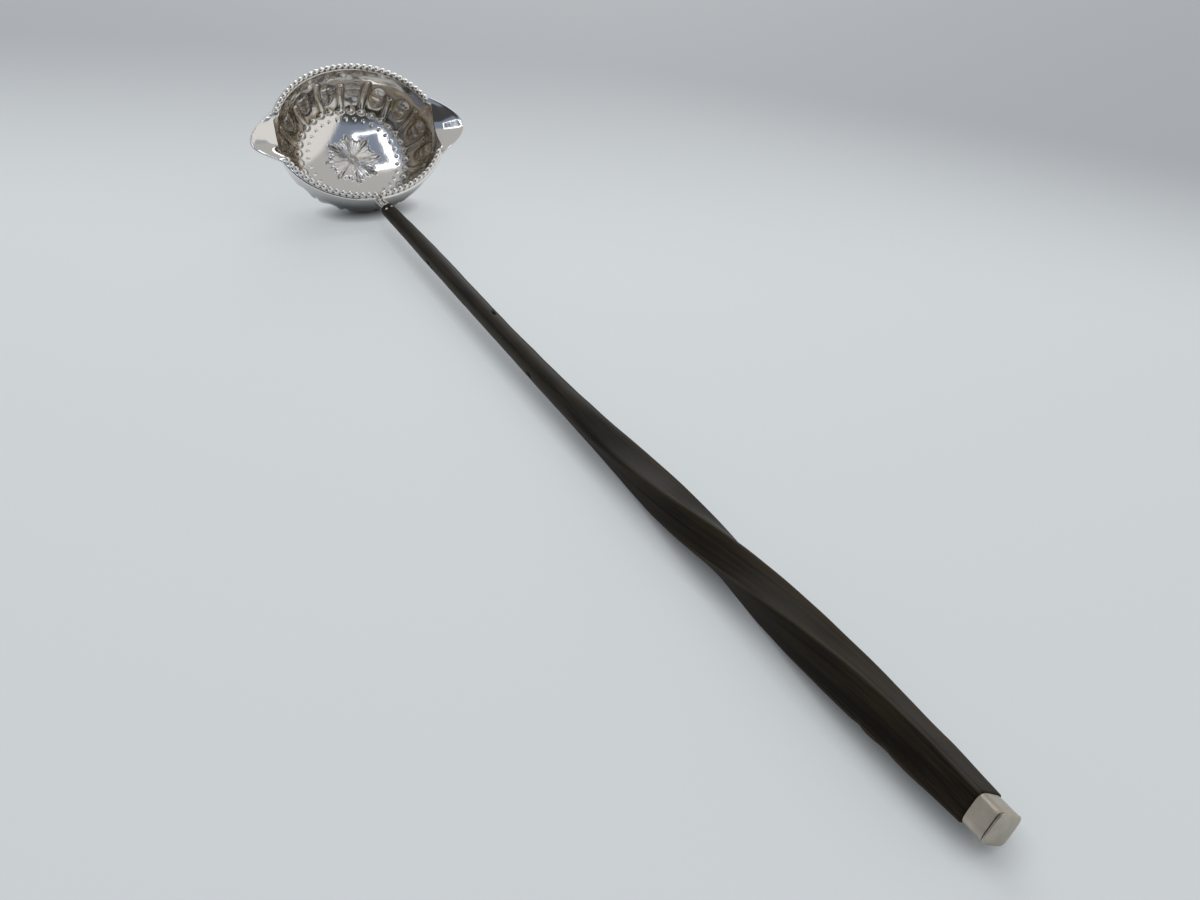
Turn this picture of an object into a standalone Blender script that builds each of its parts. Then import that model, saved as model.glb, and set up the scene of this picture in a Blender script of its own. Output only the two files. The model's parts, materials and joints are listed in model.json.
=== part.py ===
"""Punch ladle: an oval silver bowl with two pouring lips and a beaded rim, on a twisted baleen handle.

The ladle lies on a table: the handle runs towards -Y, the bowl is at +Y and its lips point to -X and +X.
Lengths are in metres, angles in degrees.
"""
import math

import bmesh
import bpy
import numpy as np
from mathutils import Matrix

# Clearance that each pair of seated pieces keeps
SEAT_GAP = 0.0003

# Bowl: oval at the rim, round at the foot of its wall
RIM_HALF_WIDTH = 0.0320
RIM_HALF_DEPTH = 0.0282
RIM_FLANGE = 0.0026
BOWL_WALL = 0.0011
WALL_HEIGHT = 0.0180
BELLY_HEIGHT = 0.0130
FOOT_RADIUS = 0.0202
DISH_DEPTH = 0.0028
BASE_FLAT_RADIUS = 0.0070
FLUTE_COUNT = 16
FLUTE_HEIGHT = 0.0007
FLUTE_LENGTH = 0.0110
FOOT_BEAD_HEIGHT = 0.0008
FOOT_BEAD_WIDTH = 0.0030
ROSETTE_RADIUS = 0.0105
ROSETTE_HEIGHT = 0.0008

# Pouring lips, one on each side of the bowl
LIP_HALF_ANGLE = 23.5
LIP_TURN = -2.0
LIP_REACH = 0.0079
LIP_NOTCH = 0.0036
LIP_NOTCH_DEPTH_REACHED = 0.0081
LIP_THICKNESS = 0.0011
LIP_TIP_DROP = 0.0006

# Beaded wire on the rim flange
BEAD_DIAMETER = 0.0021
BEAD_PITCH = 0.00235
BEAD_NECK_DIAMETER = 0.0012

# Silver stem, and the two pins that hold the handle on its tang
STEM_ROOT_DIAMETER = 0.0022
STEM_ROOT_OVERLAP = 0.0024
STEM_OVERHANG = 0.0033
STEM_DIAMETER = 0.0036
STEM_LENGTH = 0.0024
TANG_DIAMETER = 0.0026
TANG_LENGTH = 0.0200
PIN_DIAMETER = 0.0006
PIN_SPACING = 0.0017
PIN_ANGLE = -38.0
PIN_FROM_HANDLE_END = 0.0024

# Handle: round at the bowl, then square and twisted towards the cap
HANDLE_RISE = 43.9
HANDLE_LENGTH = 0.3140
HANDLE_END_DIAMETER = 0.0047
HANDLE_END_ROUNDING = 0.0010
HANDLE_GRIP_DIAMETER = 0.0056
HANDLE_TWIST_SIDE = 0.0070
HANDLE_BUTT_SIDE = 0.0079
HANDLE_SHOULDER_SIDE = 0.0072
HANDLE_SHOULDER_TAPER = 0.0120
HANDLE_BOW = 0.0012
HANDLE_SIDE_BOW = 0.0012
SQUARING_START = 0.1050
SQUARING_LENGTH = 0.0550
TWIST_START = 0.1480
TWIST_LENGTH = 0.1630
FACE_ANGLE_AT_BOWL = -28.0
TWIST_ANGLE = 150.0
ARRIS_SHARPNESS = 9.0
STEM_END_SHARPNESS = 2.4

# Square end cap: a sleeve over the handle's tenon, closed by a plate
CAP_SIDE = 0.0061
CAP_WALL = 0.0006
CAP_SLEEVE_LENGTH = 0.0037
CAP_CORNER_RADIUS = 0.0009
CAP_PLATE_SIDE = 0.0063
CAP_PLATE_THICKNESS = 0.0009
CAP_PLATE_EDGE = 0.0003

# Fineness of the round forms
BOWL_SEGMENTS = 108
WALL_STEPS = 6
DISH_STEPS = 4
LIP_STEPS_ACROSS = 14
LIP_STEPS_OUT = 6
LIP_COVERAGE = 0.97
SECTION_POINTS = 24
HANDLE_STATIONS = 40
CYLINDER_SIDES = 20
TUBE_RESOLUTION = 3
BEAD_RESOLUTION = 1

# Finishes: name, colour, roughness, metallic
SILVER = ("polished_silver", (0.72, 0.70, 0.67), 0.18, 1.0)
SATIN_SILVER = ("satin_silver", (0.66, 0.63, 0.58), 0.34, 1.0)
BALEEN = ("baleen", (0.028, 0.024, 0.019), 0.38, 0.0)

# Values that follow from the sizes above
RIM_INNER = RIM_HALF_WIDTH - RIM_FLANGE
RIM_OVAL = RIM_HALF_DEPTH / RIM_HALF_WIDTH
LIP_ANGLE = math.radians(LIP_HALF_ANGLE)
LIP_AXIS = math.radians(LIP_TURN)
SEGMENT_ANGLE = 2 * math.pi / BOWL_SEGMENTS
BORE_DIAMETER = TANG_DIAMETER + 2 * SEAT_GAP
BORE_DEPTH = TANG_LENGTH + SEAT_GAP
PIN_HOLE_DIAMETER = PIN_DIAMETER + 2 * SEAT_GAP
PIN_TURN = -math.radians(PIN_ANGLE)
PIN_HEIGHT = STEM_LENGTH + SEAT_GAP + PIN_FROM_HANDLE_END
HANDLE_START = STEM_LENGTH + SEAT_GAP
HANDLE_END = HANDLE_START + HANDLE_LENGTH
SLEEVE_START = HANDLE_END + SEAT_GAP
SLEEVE_BORE_SIDE = CAP_SIDE - 2 * CAP_WALL
TENON_SIDE = SLEEVE_BORE_SIDE - 2 * SEAT_GAP
TENON_LENGTH = SEAT_GAP + CAP_SLEEVE_LENGTH
PLATE_START = SLEEVE_START + CAP_SLEEVE_LENGTH + SEAT_GAP


def collection(name):
    """Make a collection and link it to the scene."""
    made = bpy.data.collections.new(name)
    bpy.context.scene.collection.children.link(made)
    return made


for old in list(bpy.data.objects):
    bpy.data.objects.remove(old, do_unlink=True)
PARTS = collection("punch_ladle")
CUTTERS = collection("cutters")


def material(finish):
    """Return the Principled material of a finish, made once."""
    name, colour, roughness, metallic = finish
    made = bpy.data.materials.get(name) or bpy.data.materials.new(name)
    made.use_nodes = True
    shader = made.node_tree.nodes["Principled BSDF"]
    shader.inputs["Base Color"].default_value = (*colour, 1.0)
    shader.inputs["Roughness"].default_value = roughness
    shader.inputs["Metallic"].default_value = metallic
    return made


def empty(name, parent=None, location=(0.0, 0.0, 0.0), turn_x=0.0):
    """Add an empty that carries other objects."""
    made = bpy.data.objects.new(name, None)
    made.empty_display_size = 0.01
    made.parent = parent
    made.location = location
    made.rotation_euler = (turn_x, 0.0, 0.0)
    PARTS.objects.link(made)
    return made


def part(name, data, finish, parent, location=(0.0, 0.0, 0.0), turn_z=0.0):
    """Add one named sub-part with its own material, shaded smooth between its sharp edges."""
    made = bpy.data.objects.new(name, data)
    data.materials.clear()
    data.materials.append(material(finish))
    made.parent = parent
    made.location = location
    made.rotation_euler = (0.0, 0.0, turn_z)
    PARTS.objects.link(made)
    if isinstance(data, bpy.types.Mesh):
        data.shade_smooth()
        data.set_sharp_from_angle(angle=math.radians(35.0))
    return made


def cut(target, name, data, location=(0.0, 0.0, 0.0), turn_z=0.0):
    """Subtract a cutter, which shares the target's parent, from the target."""
    cutter = bpy.data.objects.new(name, data)
    cutter.parent = target.parent
    cutter.location = location
    cutter.rotation_euler = (0.0, 0.0, turn_z)
    cutter.hide_render = True
    cutter.display_type = "WIRE"
    CUTTERS.objects.link(cutter)
    boolean = target.modifiers.new(name, "BOOLEAN")
    boolean.operation = "DIFFERENCE"
    boolean.object = cutter


def mesh_from(name, build):
    """Return mesh data that a function fills through a bmesh."""
    work = bmesh.new()
    build(work)
    work.normal_update()
    bmesh.ops.recalc_face_normals(work, faces=work.faces)
    data = bpy.data.meshes.new(name)
    work.to_mesh(data)
    work.free()
    return data


def cylinder(name, diameter, length, across=False):
    """Return a closed cylinder centred on the origin, along Z, or along Y if it lies across."""
    def build(work):
        bmesh.ops.create_cone(work, cap_ends=True, segments=CYLINDER_SIDES, radius1=diameter / 2,
                              radius2=diameter / 2, depth=length)
        if across:
            bmesh.ops.rotate(work, verts=work.verts, matrix=Matrix.Rotation(math.pi / 2, 3, "X"))
    return mesh_from(name, build)


def square_block(name, side, length, corner_radius=0.0):
    """Return a square block from z = 0 to its length, with rounded long edges where a radius is given."""
    def build(work):
        bmesh.ops.create_cube(work, size=1.0)
        for vertex in work.verts:
            vertex.co.x *= side
            vertex.co.y *= side
            vertex.co.z = (vertex.co.z + 0.5) * length
        if corner_radius:
            long_edges = [e for e in work.edges if abs(e.verts[0].co.z - e.verts[1].co.z) > length / 2]
            bmesh.ops.bevel(work, geom=long_edges, offset=corner_radius, segments=3, profile=0.5,
                            affect="EDGES")
    return mesh_from(name, build)


def tube(name, points, diameters, resolution):
    """Return a closed mesh tube along a polyline whose diameter changes from point to point."""
    curve = bpy.data.curves.new(name, "CURVE")
    curve.dimensions = "3D"
    curve.bevel_depth = 0.5
    curve.bevel_resolution = resolution
    curve.use_fill_caps = True
    spline = curve.splines.new("POLY")
    spline.points.add(len(points) - 1)
    for spot, place, diameter in zip(spline.points, points, diameters):
        spot.co = (*place, 1.0)
        spot.radius = diameter
    holder = bpy.data.objects.new(name, curve)
    PARTS.objects.link(holder)
    data = evaluated_mesh(holder, name)
    bpy.data.objects.remove(holder)
    return data


def evaluated_mesh(holder, name):
    """Return an object's evaluated mesh with its doubled points merged."""
    graph = bpy.context.evaluated_depsgraph_get()
    data = bpy.data.meshes.new_from_object(holder.evaluated_get(graph))
    data.name = name
    work = bmesh.new()
    work.from_mesh(data)
    bmesh.ops.remove_doubles(work, verts=work.verts, dist=1e-6)
    bmesh.ops.recalc_face_normals(work, faces=work.faces)
    work.to_mesh(data)
    work.free()
    return data


def turned_mesh(name, profile):
    """Return the mesh of a profile of (radius, height) points spun about Z."""
    data = bpy.data.meshes.new(name)
    links = [(i, i + 1) for i in range(len(profile) - 1)]
    data.from_pydata([(radius, 0.0, height) for radius, height in profile], links, [])
    holder = bpy.data.objects.new(name, data)
    PARTS.objects.link(holder)
    screw = holder.modifiers.new("turn", "SCREW")
    screw.steps = BOWL_SEGMENTS
    screw.render_steps = BOWL_SEGMENTS
    screw.use_merge_vertices = True
    screw.merge_threshold = 1e-6
    mesh = evaluated_mesh(holder, name)
    bpy.data.objects.remove(holder)
    return mesh


def smooth(value):
    """Ease from 0 to 1, level at both ends."""
    held = np.clip(value, 0.0, 1.0)
    return held * held * (3.0 - 2.0 * held)


def wall_profile():
    """Return the inner wall from rim to foot as a quadratic curve, and its outward normals."""
    t = np.linspace(0.0, 1.0, WALL_STEPS + 1)[:, None]
    rim, belly = np.array((RIM_INNER, 0.0)), np.array((RIM_INNER, -BELLY_HEIGHT))
    foot = np.array((FOOT_RADIUS, -WALL_HEIGHT))
    line = (1 - t) ** 2 * rim + 2 * t * (1 - t) * belly + t ** 2 * foot
    along = 2 * (1 - t) * (belly - rim) + 2 * t * (foot - belly)
    normal = np.stack((-along[:, 1], along[:, 0]), axis=1)
    return line, normal / np.linalg.norm(normal, axis=1)[:, None]


def dish_profile():
    """Return the inner floor from the centre out: rosette boss, dish and bead ring."""
    boss = [(0.0, 1.0), (0.35, 1.0), (0.8, 0.7), (1.0, 0.0)]
    radii = [share * ROSETTE_RADIUS for share, _ in boss]
    lifts = [height * ROSETTE_HEIGHT for _, height in boss]
    ring_inner = FOOT_RADIUS - FOOT_BEAD_WIDTH
    plain = list(np.linspace(ROSETTE_RADIUS, ring_inner, DISH_STEPS)[1:])
    radii += plain + [FOOT_RADIUS - FOOT_BEAD_WIDTH / 2]
    lifts += [0.0] * len(plain) + [FOOT_BEAD_HEIGHT]
    floor = -WALL_HEIGHT - DISH_DEPTH * (1 - (np.array(radii) / FOOT_RADIUS) ** 2)
    return list(zip(radii, floor + np.array(lifts)))


def bowl_profile():
    """Return the whole section: up the inside, over the flange and down the outside."""
    inner, normal = wall_profile()
    outer = inner + normal * BOWL_WALL
    shares = np.linspace(1.0, 0.0, DISH_STEPS + 1)[1:]
    base_radii = BASE_FLAT_RADIUS + shares * (outer[-1, 0] - BASE_FLAT_RADIUS)
    base_heights = outer[-1, 1] - (BOWL_WALL + WALL_HEIGHT + DISH_DEPTH + outer[-1, 1]) * (1 - shares ** 2)
    flange = [(RIM_HALF_WIDTH, 0.0), (RIM_HALF_WIDTH, -BOWL_WALL)]
    underside = list(zip(base_radii, base_heights)) + [(0.0, base_heights[-1])]
    return dish_profile() + list(inner[::-1]) + flange + list(outer[1:]) + underside


def oval(height):
    """Return the share of the width that the bowl's front-to-back size has at a height."""
    return 1.0 + (RIM_OVAL - 1.0) * np.clip(1.0 + height / WALL_HEIGHT, 0.0, 1.0)


def lip_distance(angle):
    """Return the angle from the nearer lip's middle."""
    return np.abs((angle - LIP_AXIS + math.pi / 2) % math.pi - math.pi / 2)


def shape_bowl(mesh):
    """Chase the turned bowl: flutes round the wall, a notch at each lip, and the oval plan."""
    co = np.empty(len(mesh.vertices) * 3)
    mesh.vertices.foreach_get("co", co)
    x, y, z = co.reshape(-1, 3).T
    radius, angle = np.hypot(x, y), np.arctan2(y, x)
    up_wall = (z + WALL_HEIGHT) / FLUTE_LENGTH
    on_wall = np.where((up_wall > 0) & (up_wall < 1), np.sin(np.pi * np.clip(up_wall, 0, 1)), 0.0)
    radius = radius - FLUTE_HEIGHT * on_wall * np.clip(np.cos(FLUTE_COUNT * angle), 0, 1) ** 2
    away = lip_distance(angle)
    plain_wall = RIM_INNER + BOWL_WALL
    run_out = 1.0 - smooth((away - LIP_ANGLE - SEGMENT_ANGLE) / SEGMENT_ANGLE)
    flange = (radius > plain_wall) & (z > -2 * BOWL_WALL)
    radius = np.where(flange, radius + (plain_wall - radius) * run_out, radius)
    drop = LIP_NOTCH * np.cos(np.pi / 2 * np.clip(away / LIP_ANGLE, 0, 1)) ** 2
    z = z - drop * np.clip(1.0 + z / LIP_NOTCH_DEPTH_REACHED, 0.0, 1.0)
    shaped = np.stack((radius * np.cos(angle), radius * np.sin(angle) * oval(z), z), axis=1)
    mesh.vertices.foreach_set("co", shaped.ravel())
    mesh.update()


def make_bowl(parent):
    """Raised bowl with its flange, flutes, foot bead and rosette boss."""
    mesh = turned_mesh("bowl", bowl_profile())
    shape_bowl(mesh)
    part("bowl", mesh, SILVER, parent)


def lip_surface(side):
    """Return the trough of a lip as a grid of points, from the bowl's wall out to the lip's edge."""
    p, q = np.meshgrid(np.linspace(-LIP_COVERAGE, LIP_COVERAGE, LIP_STEPS_ACROSS + 1),
                       np.linspace(0.0, 1.0, LIP_STEPS_OUT + 1), indexing="ij")
    swell = np.cos(np.pi / 2 * p)
    seat = RIM_INNER + BOWL_WALL + SEAT_GAP
    angle = LIP_AXIS + p * LIP_ANGLE
    base_x, base_y = seat * np.cos(angle), seat * RIM_OVAL * np.sin(angle)
    base_z = -LIP_NOTCH * swell ** 2
    corner = LIP_AXIS + np.sign(p) * LIP_ANGLE
    middle_y = seat * RIM_OVAL * math.sin(LIP_AXIS)
    corner_x, corner_y = seat * np.cos(corner), seat * RIM_OVAL * np.sin(corner)
    edge_x = corner_x + (RIM_HALF_WIDTH + LIP_REACH - corner_x) * swell ** 0.8
    edge_y = middle_y + (corner_y - middle_y) * np.abs(0.62 * np.sin(np.pi / 2 * p) + 0.38 * p ** 5)
    edge_z = -LIP_TIP_DROP * swell
    x = base_x + (edge_x - base_x) * q
    y = base_y + (edge_y - base_y) * q
    z = base_z + (edge_z - base_z) * q ** 1.5
    return np.stack((side * x, side * y, z), axis=-1)


def make_lip(name, side, parent):
    """Soldered pouring lip: a trough of sheet that seats against the notch in the bowl's wall."""
    grid = lip_surface(side)
    rows, columns = grid.shape[:2]

    def build(work):
        spots = [[work.verts.new(spot) for spot in row] for row in grid]
        for i in range(rows - 1):
            for j in range(columns - 1):
                work.faces.new((spots[i][j], spots[i + 1][j], spots[i + 1][j + 1], spots[i][j + 1]))
        bmesh.ops.recalc_face_normals(work, faces=work.faces)
        if sum(face.normal.z for face in work.faces) < 0:
            bmesh.ops.reverse_faces(work, faces=work.faces)

    data = bpy.data.meshes.new(name)
    work = bmesh.new()
    build(work)
    work.to_mesh(data)
    work.free()
    lip = part(name, data, SILVER, parent)
    thicken = lip.modifiers.new("sheet", "SOLIDIFY")
    thicken.thickness = LIP_THICKNESS
    thicken.offset = -1.0


def rim_points(start, end):
    """Return points on the bead circle, half a bead pitch apart, between two angles on the oval."""
    middle = RIM_HALF_WIDTH - RIM_FLANGE / 2
    deep = middle * RIM_OVAL
    fine = np.linspace(start, end, 721)
    path = np.stack((middle * np.cos(fine), deep * np.sin(fine)), axis=1)
    run = np.concatenate(([0.0], np.cumsum(np.linalg.norm(np.diff(path, axis=0), axis=1))))
    beads = max(2, round(run[-1] / BEAD_PITCH))
    stops = np.linspace(0.0, run[-1], 2 * beads + 1)
    height = BEAD_DIAMETER / 2 + SEAT_GAP
    return [(np.interp(s, run, path[:, 0]), np.interp(s, run, path[:, 1]), height) for s in stops]


def make_beading(parent):
    """Three lengths of beaded wire: one behind, and one on each side of the stem in front."""
    past_lip = LIP_ANGLE + 2 * SEGMENT_ANGLE
    stem_gap = (STEM_ROOT_DIAMETER / 2 + BEAD_DIAMETER / 2 + SEAT_GAP) / (RIM_HALF_WIDTH - RIM_FLANGE / 2)
    front = -math.pi / 2
    runs = {
        "rim_beading_back": (LIP_AXIS + past_lip, math.pi + LIP_AXIS - past_lip),
        "rim_beading_front_left": (-math.pi + LIP_AXIS + past_lip, front - stem_gap),
        "rim_beading_front_right": (front + stem_gap, LIP_AXIS - past_lip),
    }
    for name, (start, end) in runs.items():
        points = rim_points(start, end)
        diameters = [BEAD_DIAMETER if i % 2 else BEAD_NECK_DIAMETER for i in range(len(points))]
        part(name, tube(name, points, diameters, BEAD_RESOLUTION), SILVER, parent)


def pin_places():
    """Return the side and the middle of each pin, one on either side of the tang."""
    for side, sign in (("left", -1.0), ("right", 1.0)):
        off = sign * PIN_SPACING / 2
        yield side, (off * math.cos(PIN_TURN), off * math.sin(PIN_TURN), PIN_HEIGHT)


def make_stem(parent):
    """Silver stem: a root along the flange, a bend into the handle's line and a tang grooved for the pins."""
    rise = math.radians(HANDLE_RISE)

    def on_bowl(front):
        """Turn a front-to-back place at the root's height into the handle's own axes."""
        back = RIM_HALF_DEPTH + STEM_OVERHANG - front
        return (0.0, back * math.sin(rise), -back * math.cos(rise))

    route = [
        (on_bowl(RIM_HALF_DEPTH - STEM_ROOT_OVERLAP), STEM_ROOT_DIAMETER),
        (on_bowl(RIM_HALF_DEPTH + SEAT_GAP), STEM_ROOT_DIAMETER),
        ((0.0, 0.0, 0.0), STEM_DIAMETER),
        ((0.0, 0.0, STEM_LENGTH), STEM_DIAMETER),
        ((0.0, 0.0, STEM_LENGTH + SEAT_GAP / 6), TANG_DIAMETER),
        ((0.0, 0.0, HANDLE_START + TANG_LENGTH), TANG_DIAMETER),
    ]
    points, diameters = zip(*route)
    stem = part("handle_stem", tube("handle_stem", points, diameters, TUBE_RESOLUTION), SILVER, parent)
    for side, place in pin_places():
        hole = cylinder("tang_pin_groove_" + side, PIN_HOLE_DIAMETER, 2 * TANG_DIAMETER, across=True)
        cut(stem, "tang_pin_groove_" + side, hole, place, PIN_TURN)


def handle_side(s):
    """Return the handle's width between opposite faces at a distance from its stem end."""
    places = (0.0, SQUARING_START, SQUARING_START + SQUARING_LENGTH,
              HANDLE_LENGTH - HANDLE_SHOULDER_TAPER, HANDLE_LENGTH)
    sides = (HANDLE_END_DIAMETER, HANDLE_GRIP_DIAMETER, HANDLE_TWIST_SIDE,
             HANDLE_BUTT_SIDE, HANDLE_SHOULDER_SIDE)
    return np.interp(s, places, sides)


def face_angle(s):
    """Return how far the handle's top face is turned from straight up, clockwise seen from the cap."""
    return math.radians(FACE_ANGLE_AT_BOWL + TWIST_ANGLE * float(smooth((s - TWIST_START) / TWIST_LENGTH)))


def handle_ring(s, side, sharpness):
    """Return one section of the handle: a superellipse, from a circle at sharpness 2 to a square."""
    t = 2 * np.pi * np.arange(SECTION_POINTS) / SECTION_POINTS
    x = side / 2 * np.sign(np.cos(t)) * np.abs(np.cos(t)) ** (2 / sharpness)
    y = side / 2 * np.sign(np.sin(t)) * np.abs(np.sin(t)) ** (2 / sharpness)
    turn = -face_angle(s)
    bow = math.sin(math.pi * min(s / HANDLE_LENGTH, 1.0)) ** 2
    across = x * math.cos(turn) - y * math.sin(turn) - HANDLE_SIDE_BOW * bow
    up = x * math.sin(turn) + y * math.cos(turn) - HANDLE_BOW * bow
    return np.stack((across, up, np.full(SECTION_POINTS, HANDLE_START + s)), axis=1)


def handle_rings():
    """Return the handle's sections from its rounded stem end to the end of the cap's tenon."""
    ends = HANDLE_END_DIAMETER - HANDLE_END_ROUNDING
    rings = [handle_ring(0.0, ends, STEM_END_SHARPNESS)]
    for s in np.linspace(HANDLE_END_ROUNDING, HANDLE_LENGTH, HANDLE_STATIONS):
        squared = float(smooth((s - SQUARING_START) / SQUARING_LENGTH))
        sharpness = STEM_END_SHARPNESS + (ARRIS_SHARPNESS - STEM_END_SHARPNESS) * squared
        rings.append(handle_ring(s, handle_side(s), sharpness))
    rings.append(handle_ring(HANDLE_LENGTH, TENON_SIDE, ARRIS_SHARPNESS))
    tip = handle_ring(HANDLE_LENGTH, TENON_SIDE, ARRIS_SHARPNESS)
    tip[:, 2] += TENON_LENGTH
    return rings + [tip]


def make_handle(parent):
    """Twisted handle: a loft from a round to a square section, bored for the tang and the pins."""
    def build(work):
        loops = [[work.verts.new(spot) for spot in ring] for ring in handle_rings()]
        for lower, upper in zip(loops, loops[1:]):
            for i in range(SECTION_POINTS):
                j = (i + 1) % SECTION_POINTS
                work.faces.new((lower[i], lower[j], upper[j], upper[i]))
        work.faces.new(loops[0])
        work.faces.new(loops[-1])

    handle = part("handle", mesh_from("handle", build), BALEEN, parent)
    bore = cylinder("tang_bore", BORE_DIAMETER, 2 * BORE_DEPTH)
    cut(handle, "tang_bore", bore, location=(0.0, 0.0, HANDLE_START))
    for side, place in pin_places():
        hole = cylinder("handle_pin_hole_" + side, PIN_HOLE_DIAMETER, 2 * HANDLE_END_DIAMETER, across=True)
        cut(handle, "handle_pin_hole_" + side, hole, place, PIN_TURN)


def make_pins(parent):
    """Two rivets through the handle, one on each side of the tang, flush with the handle's surface."""
    chord = math.sqrt(float(handle_side(PIN_FROM_HANDLE_END)) ** 2 - PIN_SPACING ** 2)
    for side, place in pin_places():
        pin = cylinder("stem_pin_" + side, PIN_DIAMETER, chord, across=True)
        part("stem_pin_" + side, pin, SILVER, parent, place, PIN_TURN)


def make_cap(parent):
    """Square sleeve over the tenon, and the plate that closes it."""
    turn = -face_angle(HANDLE_LENGTH)
    block = square_block("end_cap_sleeve", CAP_SIDE, CAP_SLEEVE_LENGTH, CAP_CORNER_RADIUS)
    sleeve = part("end_cap_sleeve", block, SATIN_SILVER, parent, (0.0, 0.0, SLEEVE_START), turn)
    inside = square_block("sleeve_bore", SLEEVE_BORE_SIDE, 3 * CAP_SLEEVE_LENGTH)
    cut(sleeve, "sleeve_bore", inside, (0.0, 0.0, SLEEVE_START - CAP_SLEEVE_LENGTH), turn)
    block = square_block("end_cap_plate", CAP_PLATE_SIDE, CAP_PLATE_THICKNESS, CAP_CORNER_RADIUS)
    plate = part("end_cap_plate", block, SATIN_SILVER, parent, (0.0, 0.0, PLATE_START), turn)
    edge = plate.modifiers.new("edge", "BEVEL")
    edge.width = CAP_PLATE_EDGE
    edge.segments = 2
    edge.limit_method = "ANGLE"
    edge.angle_limit = math.radians(60.0)


def world_points(objects):
    """Return every evaluated vertex of some objects in world space."""
    graph = bpy.context.evaluated_depsgraph_get()
    clouds = []
    for item in objects:
        shown = item.evaluated_get(graph)
        mesh = shown.to_mesh()
        co = np.empty(len(mesh.vertices) * 3)
        mesh.vertices.foreach_get("co", co)
        matrix = np.array(shown.matrix_world)
        clouds.append(co.reshape(-1, 3) @ matrix[:3, :3].T + matrix[:3, 3])
        shown.to_mesh_clear()
    return np.concatenate(clouds)


def lay_on_table(ladle, bowl_side, handle_side_pieces):
    """Tip the ladle until bowl and handle both touch the table, then centre it over the origin."""
    bpy.context.view_layer.update()
    bowl_points, handle_points = world_points(bowl_side), world_points(handle_side_pieces)

    def lowest(points, tip):
        return float(np.min(points[:, 1] * math.sin(tip) + points[:, 2] * math.cos(tip)))

    low, high = math.radians(1.0), math.radians(89.0)
    for _ in range(60):
        tip = (low + high) / 2
        if lowest(bowl_points, tip) < lowest(handle_points, tip):
            low = tip
        else:
            high = tip
    ladle.rotation_euler = (tip, 0.0, 0.0)
    bpy.context.view_layer.update()
    cloud = world_points(bowl_side + handle_side_pieces)
    least, most = cloud.min(axis=0), cloud.max(axis=0)
    ladle.location = (-(least[0] + most[0]) / 2, -(least[1] + most[1]) / 2, -least[2])


def main():
    """Build the ladle from its bowl to its cap and lay it down."""
    ladle = empty("ladle")
    bowl_frame = empty("bowl_frame", ladle)
    bend = (0.0, -RIM_HALF_DEPTH - STEM_OVERHANG, STEM_ROOT_DIAMETER / 2 + SEAT_GAP)
    handle_frame = empty("handle_frame", ladle, bend, math.pi / 2 - math.radians(HANDLE_RISE))
    make_bowl(bowl_frame)
    make_lip("lip_left", -1.0, bowl_frame)
    make_lip("lip_right", 1.0, bowl_frame)
    make_beading(bowl_frame)
    make_stem(handle_frame)
    make_handle(handle_frame)
    make_pins(handle_frame)
    make_cap(handle_frame)
    meshes = [item for item in PARTS.objects if item.type == "MESH"]
    lay_on_table(ladle, [item for item in meshes if item.parent == bowl_frame],
                 [item for item in meshes if item.parent == handle_frame])


main()
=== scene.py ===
"""Looks of the punch ladle: a chased silver bowl with a beaded rim, a twisted baleen handle and a satin cap.

Each piece is a surface worked out with numpy in the bowl's or the handle's own axes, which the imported
record's mounts give. Lengths are in metres. Angles are in radians, and properties show them in degrees.
"""

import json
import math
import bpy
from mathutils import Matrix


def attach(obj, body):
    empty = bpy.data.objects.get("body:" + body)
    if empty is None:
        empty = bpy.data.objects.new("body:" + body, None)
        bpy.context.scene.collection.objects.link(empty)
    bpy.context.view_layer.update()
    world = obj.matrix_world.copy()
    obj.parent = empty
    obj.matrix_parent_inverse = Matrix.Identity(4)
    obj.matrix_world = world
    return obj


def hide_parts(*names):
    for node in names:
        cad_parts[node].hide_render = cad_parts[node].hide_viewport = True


bl_info = {
    "name": "Punch Ladle Looks",
    "version": (1, 0, 0),
    "blender": (4, 5, 0),
    "location": "3D View > Sidebar > Ladle",
    "description": "Dresses the punch ladle in chased silver, satin silver and twisted baleen",
    "category": "Object",
}

import bpy
import numpy as np
from mathutils import Matrix

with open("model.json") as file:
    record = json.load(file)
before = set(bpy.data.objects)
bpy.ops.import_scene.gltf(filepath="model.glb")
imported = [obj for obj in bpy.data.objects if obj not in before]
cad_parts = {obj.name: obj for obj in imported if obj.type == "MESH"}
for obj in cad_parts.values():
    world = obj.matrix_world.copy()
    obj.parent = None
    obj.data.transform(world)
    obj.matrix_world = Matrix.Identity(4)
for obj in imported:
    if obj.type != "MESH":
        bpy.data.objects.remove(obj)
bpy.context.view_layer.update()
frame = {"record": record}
MOUNTS = {mount["name"]: mount for mount in frame["record"]["mounts"]}

# Fineness of the surfaces
BOWL_COLUMNS = 512
FLOOR_ROWS = 78
WALL_ROWS = 62
FLANGE_ROWS = 5
EDGE_ROWS = 5
OUTSIDE_ROWS = 26
LIP_STATIONS = 96
LIP_ROWS = 22
BEAD_STATIONS = 12
BEAD_COLUMNS = 20
STEM_STATIONS = 48
STEM_COLUMNS = 40
HANDLE_STATIONS = 540
HANDLE_COLUMNS = 96
CAP_COLUMNS = 72
ROUNDING_ROWS = 6
SLEEVE_ROWS = 8
PATH_STEPS = 1441

# Last rows of the bowl's inside, at the rim
RIM_ROWS = 3

UP = np.array((0.0, 0.0, 1.0))


def length(name, default, description):
    """Return a property for a size in metres."""
    return bpy.props.FloatProperty(name=name, description=description, default=default, unit="LENGTH",
                                   precision=5)


def turn(name, degrees, description):
    """Return a property for an angle, given in degrees."""
    return bpy.props.FloatProperty(name=name, description=description, default=math.radians(degrees),
                                   subtype="ANGLE")


def share(name, default, description):
    """Return a property for a plain number."""
    return bpy.props.FloatProperty(name=name, description=description, default=default)


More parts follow.
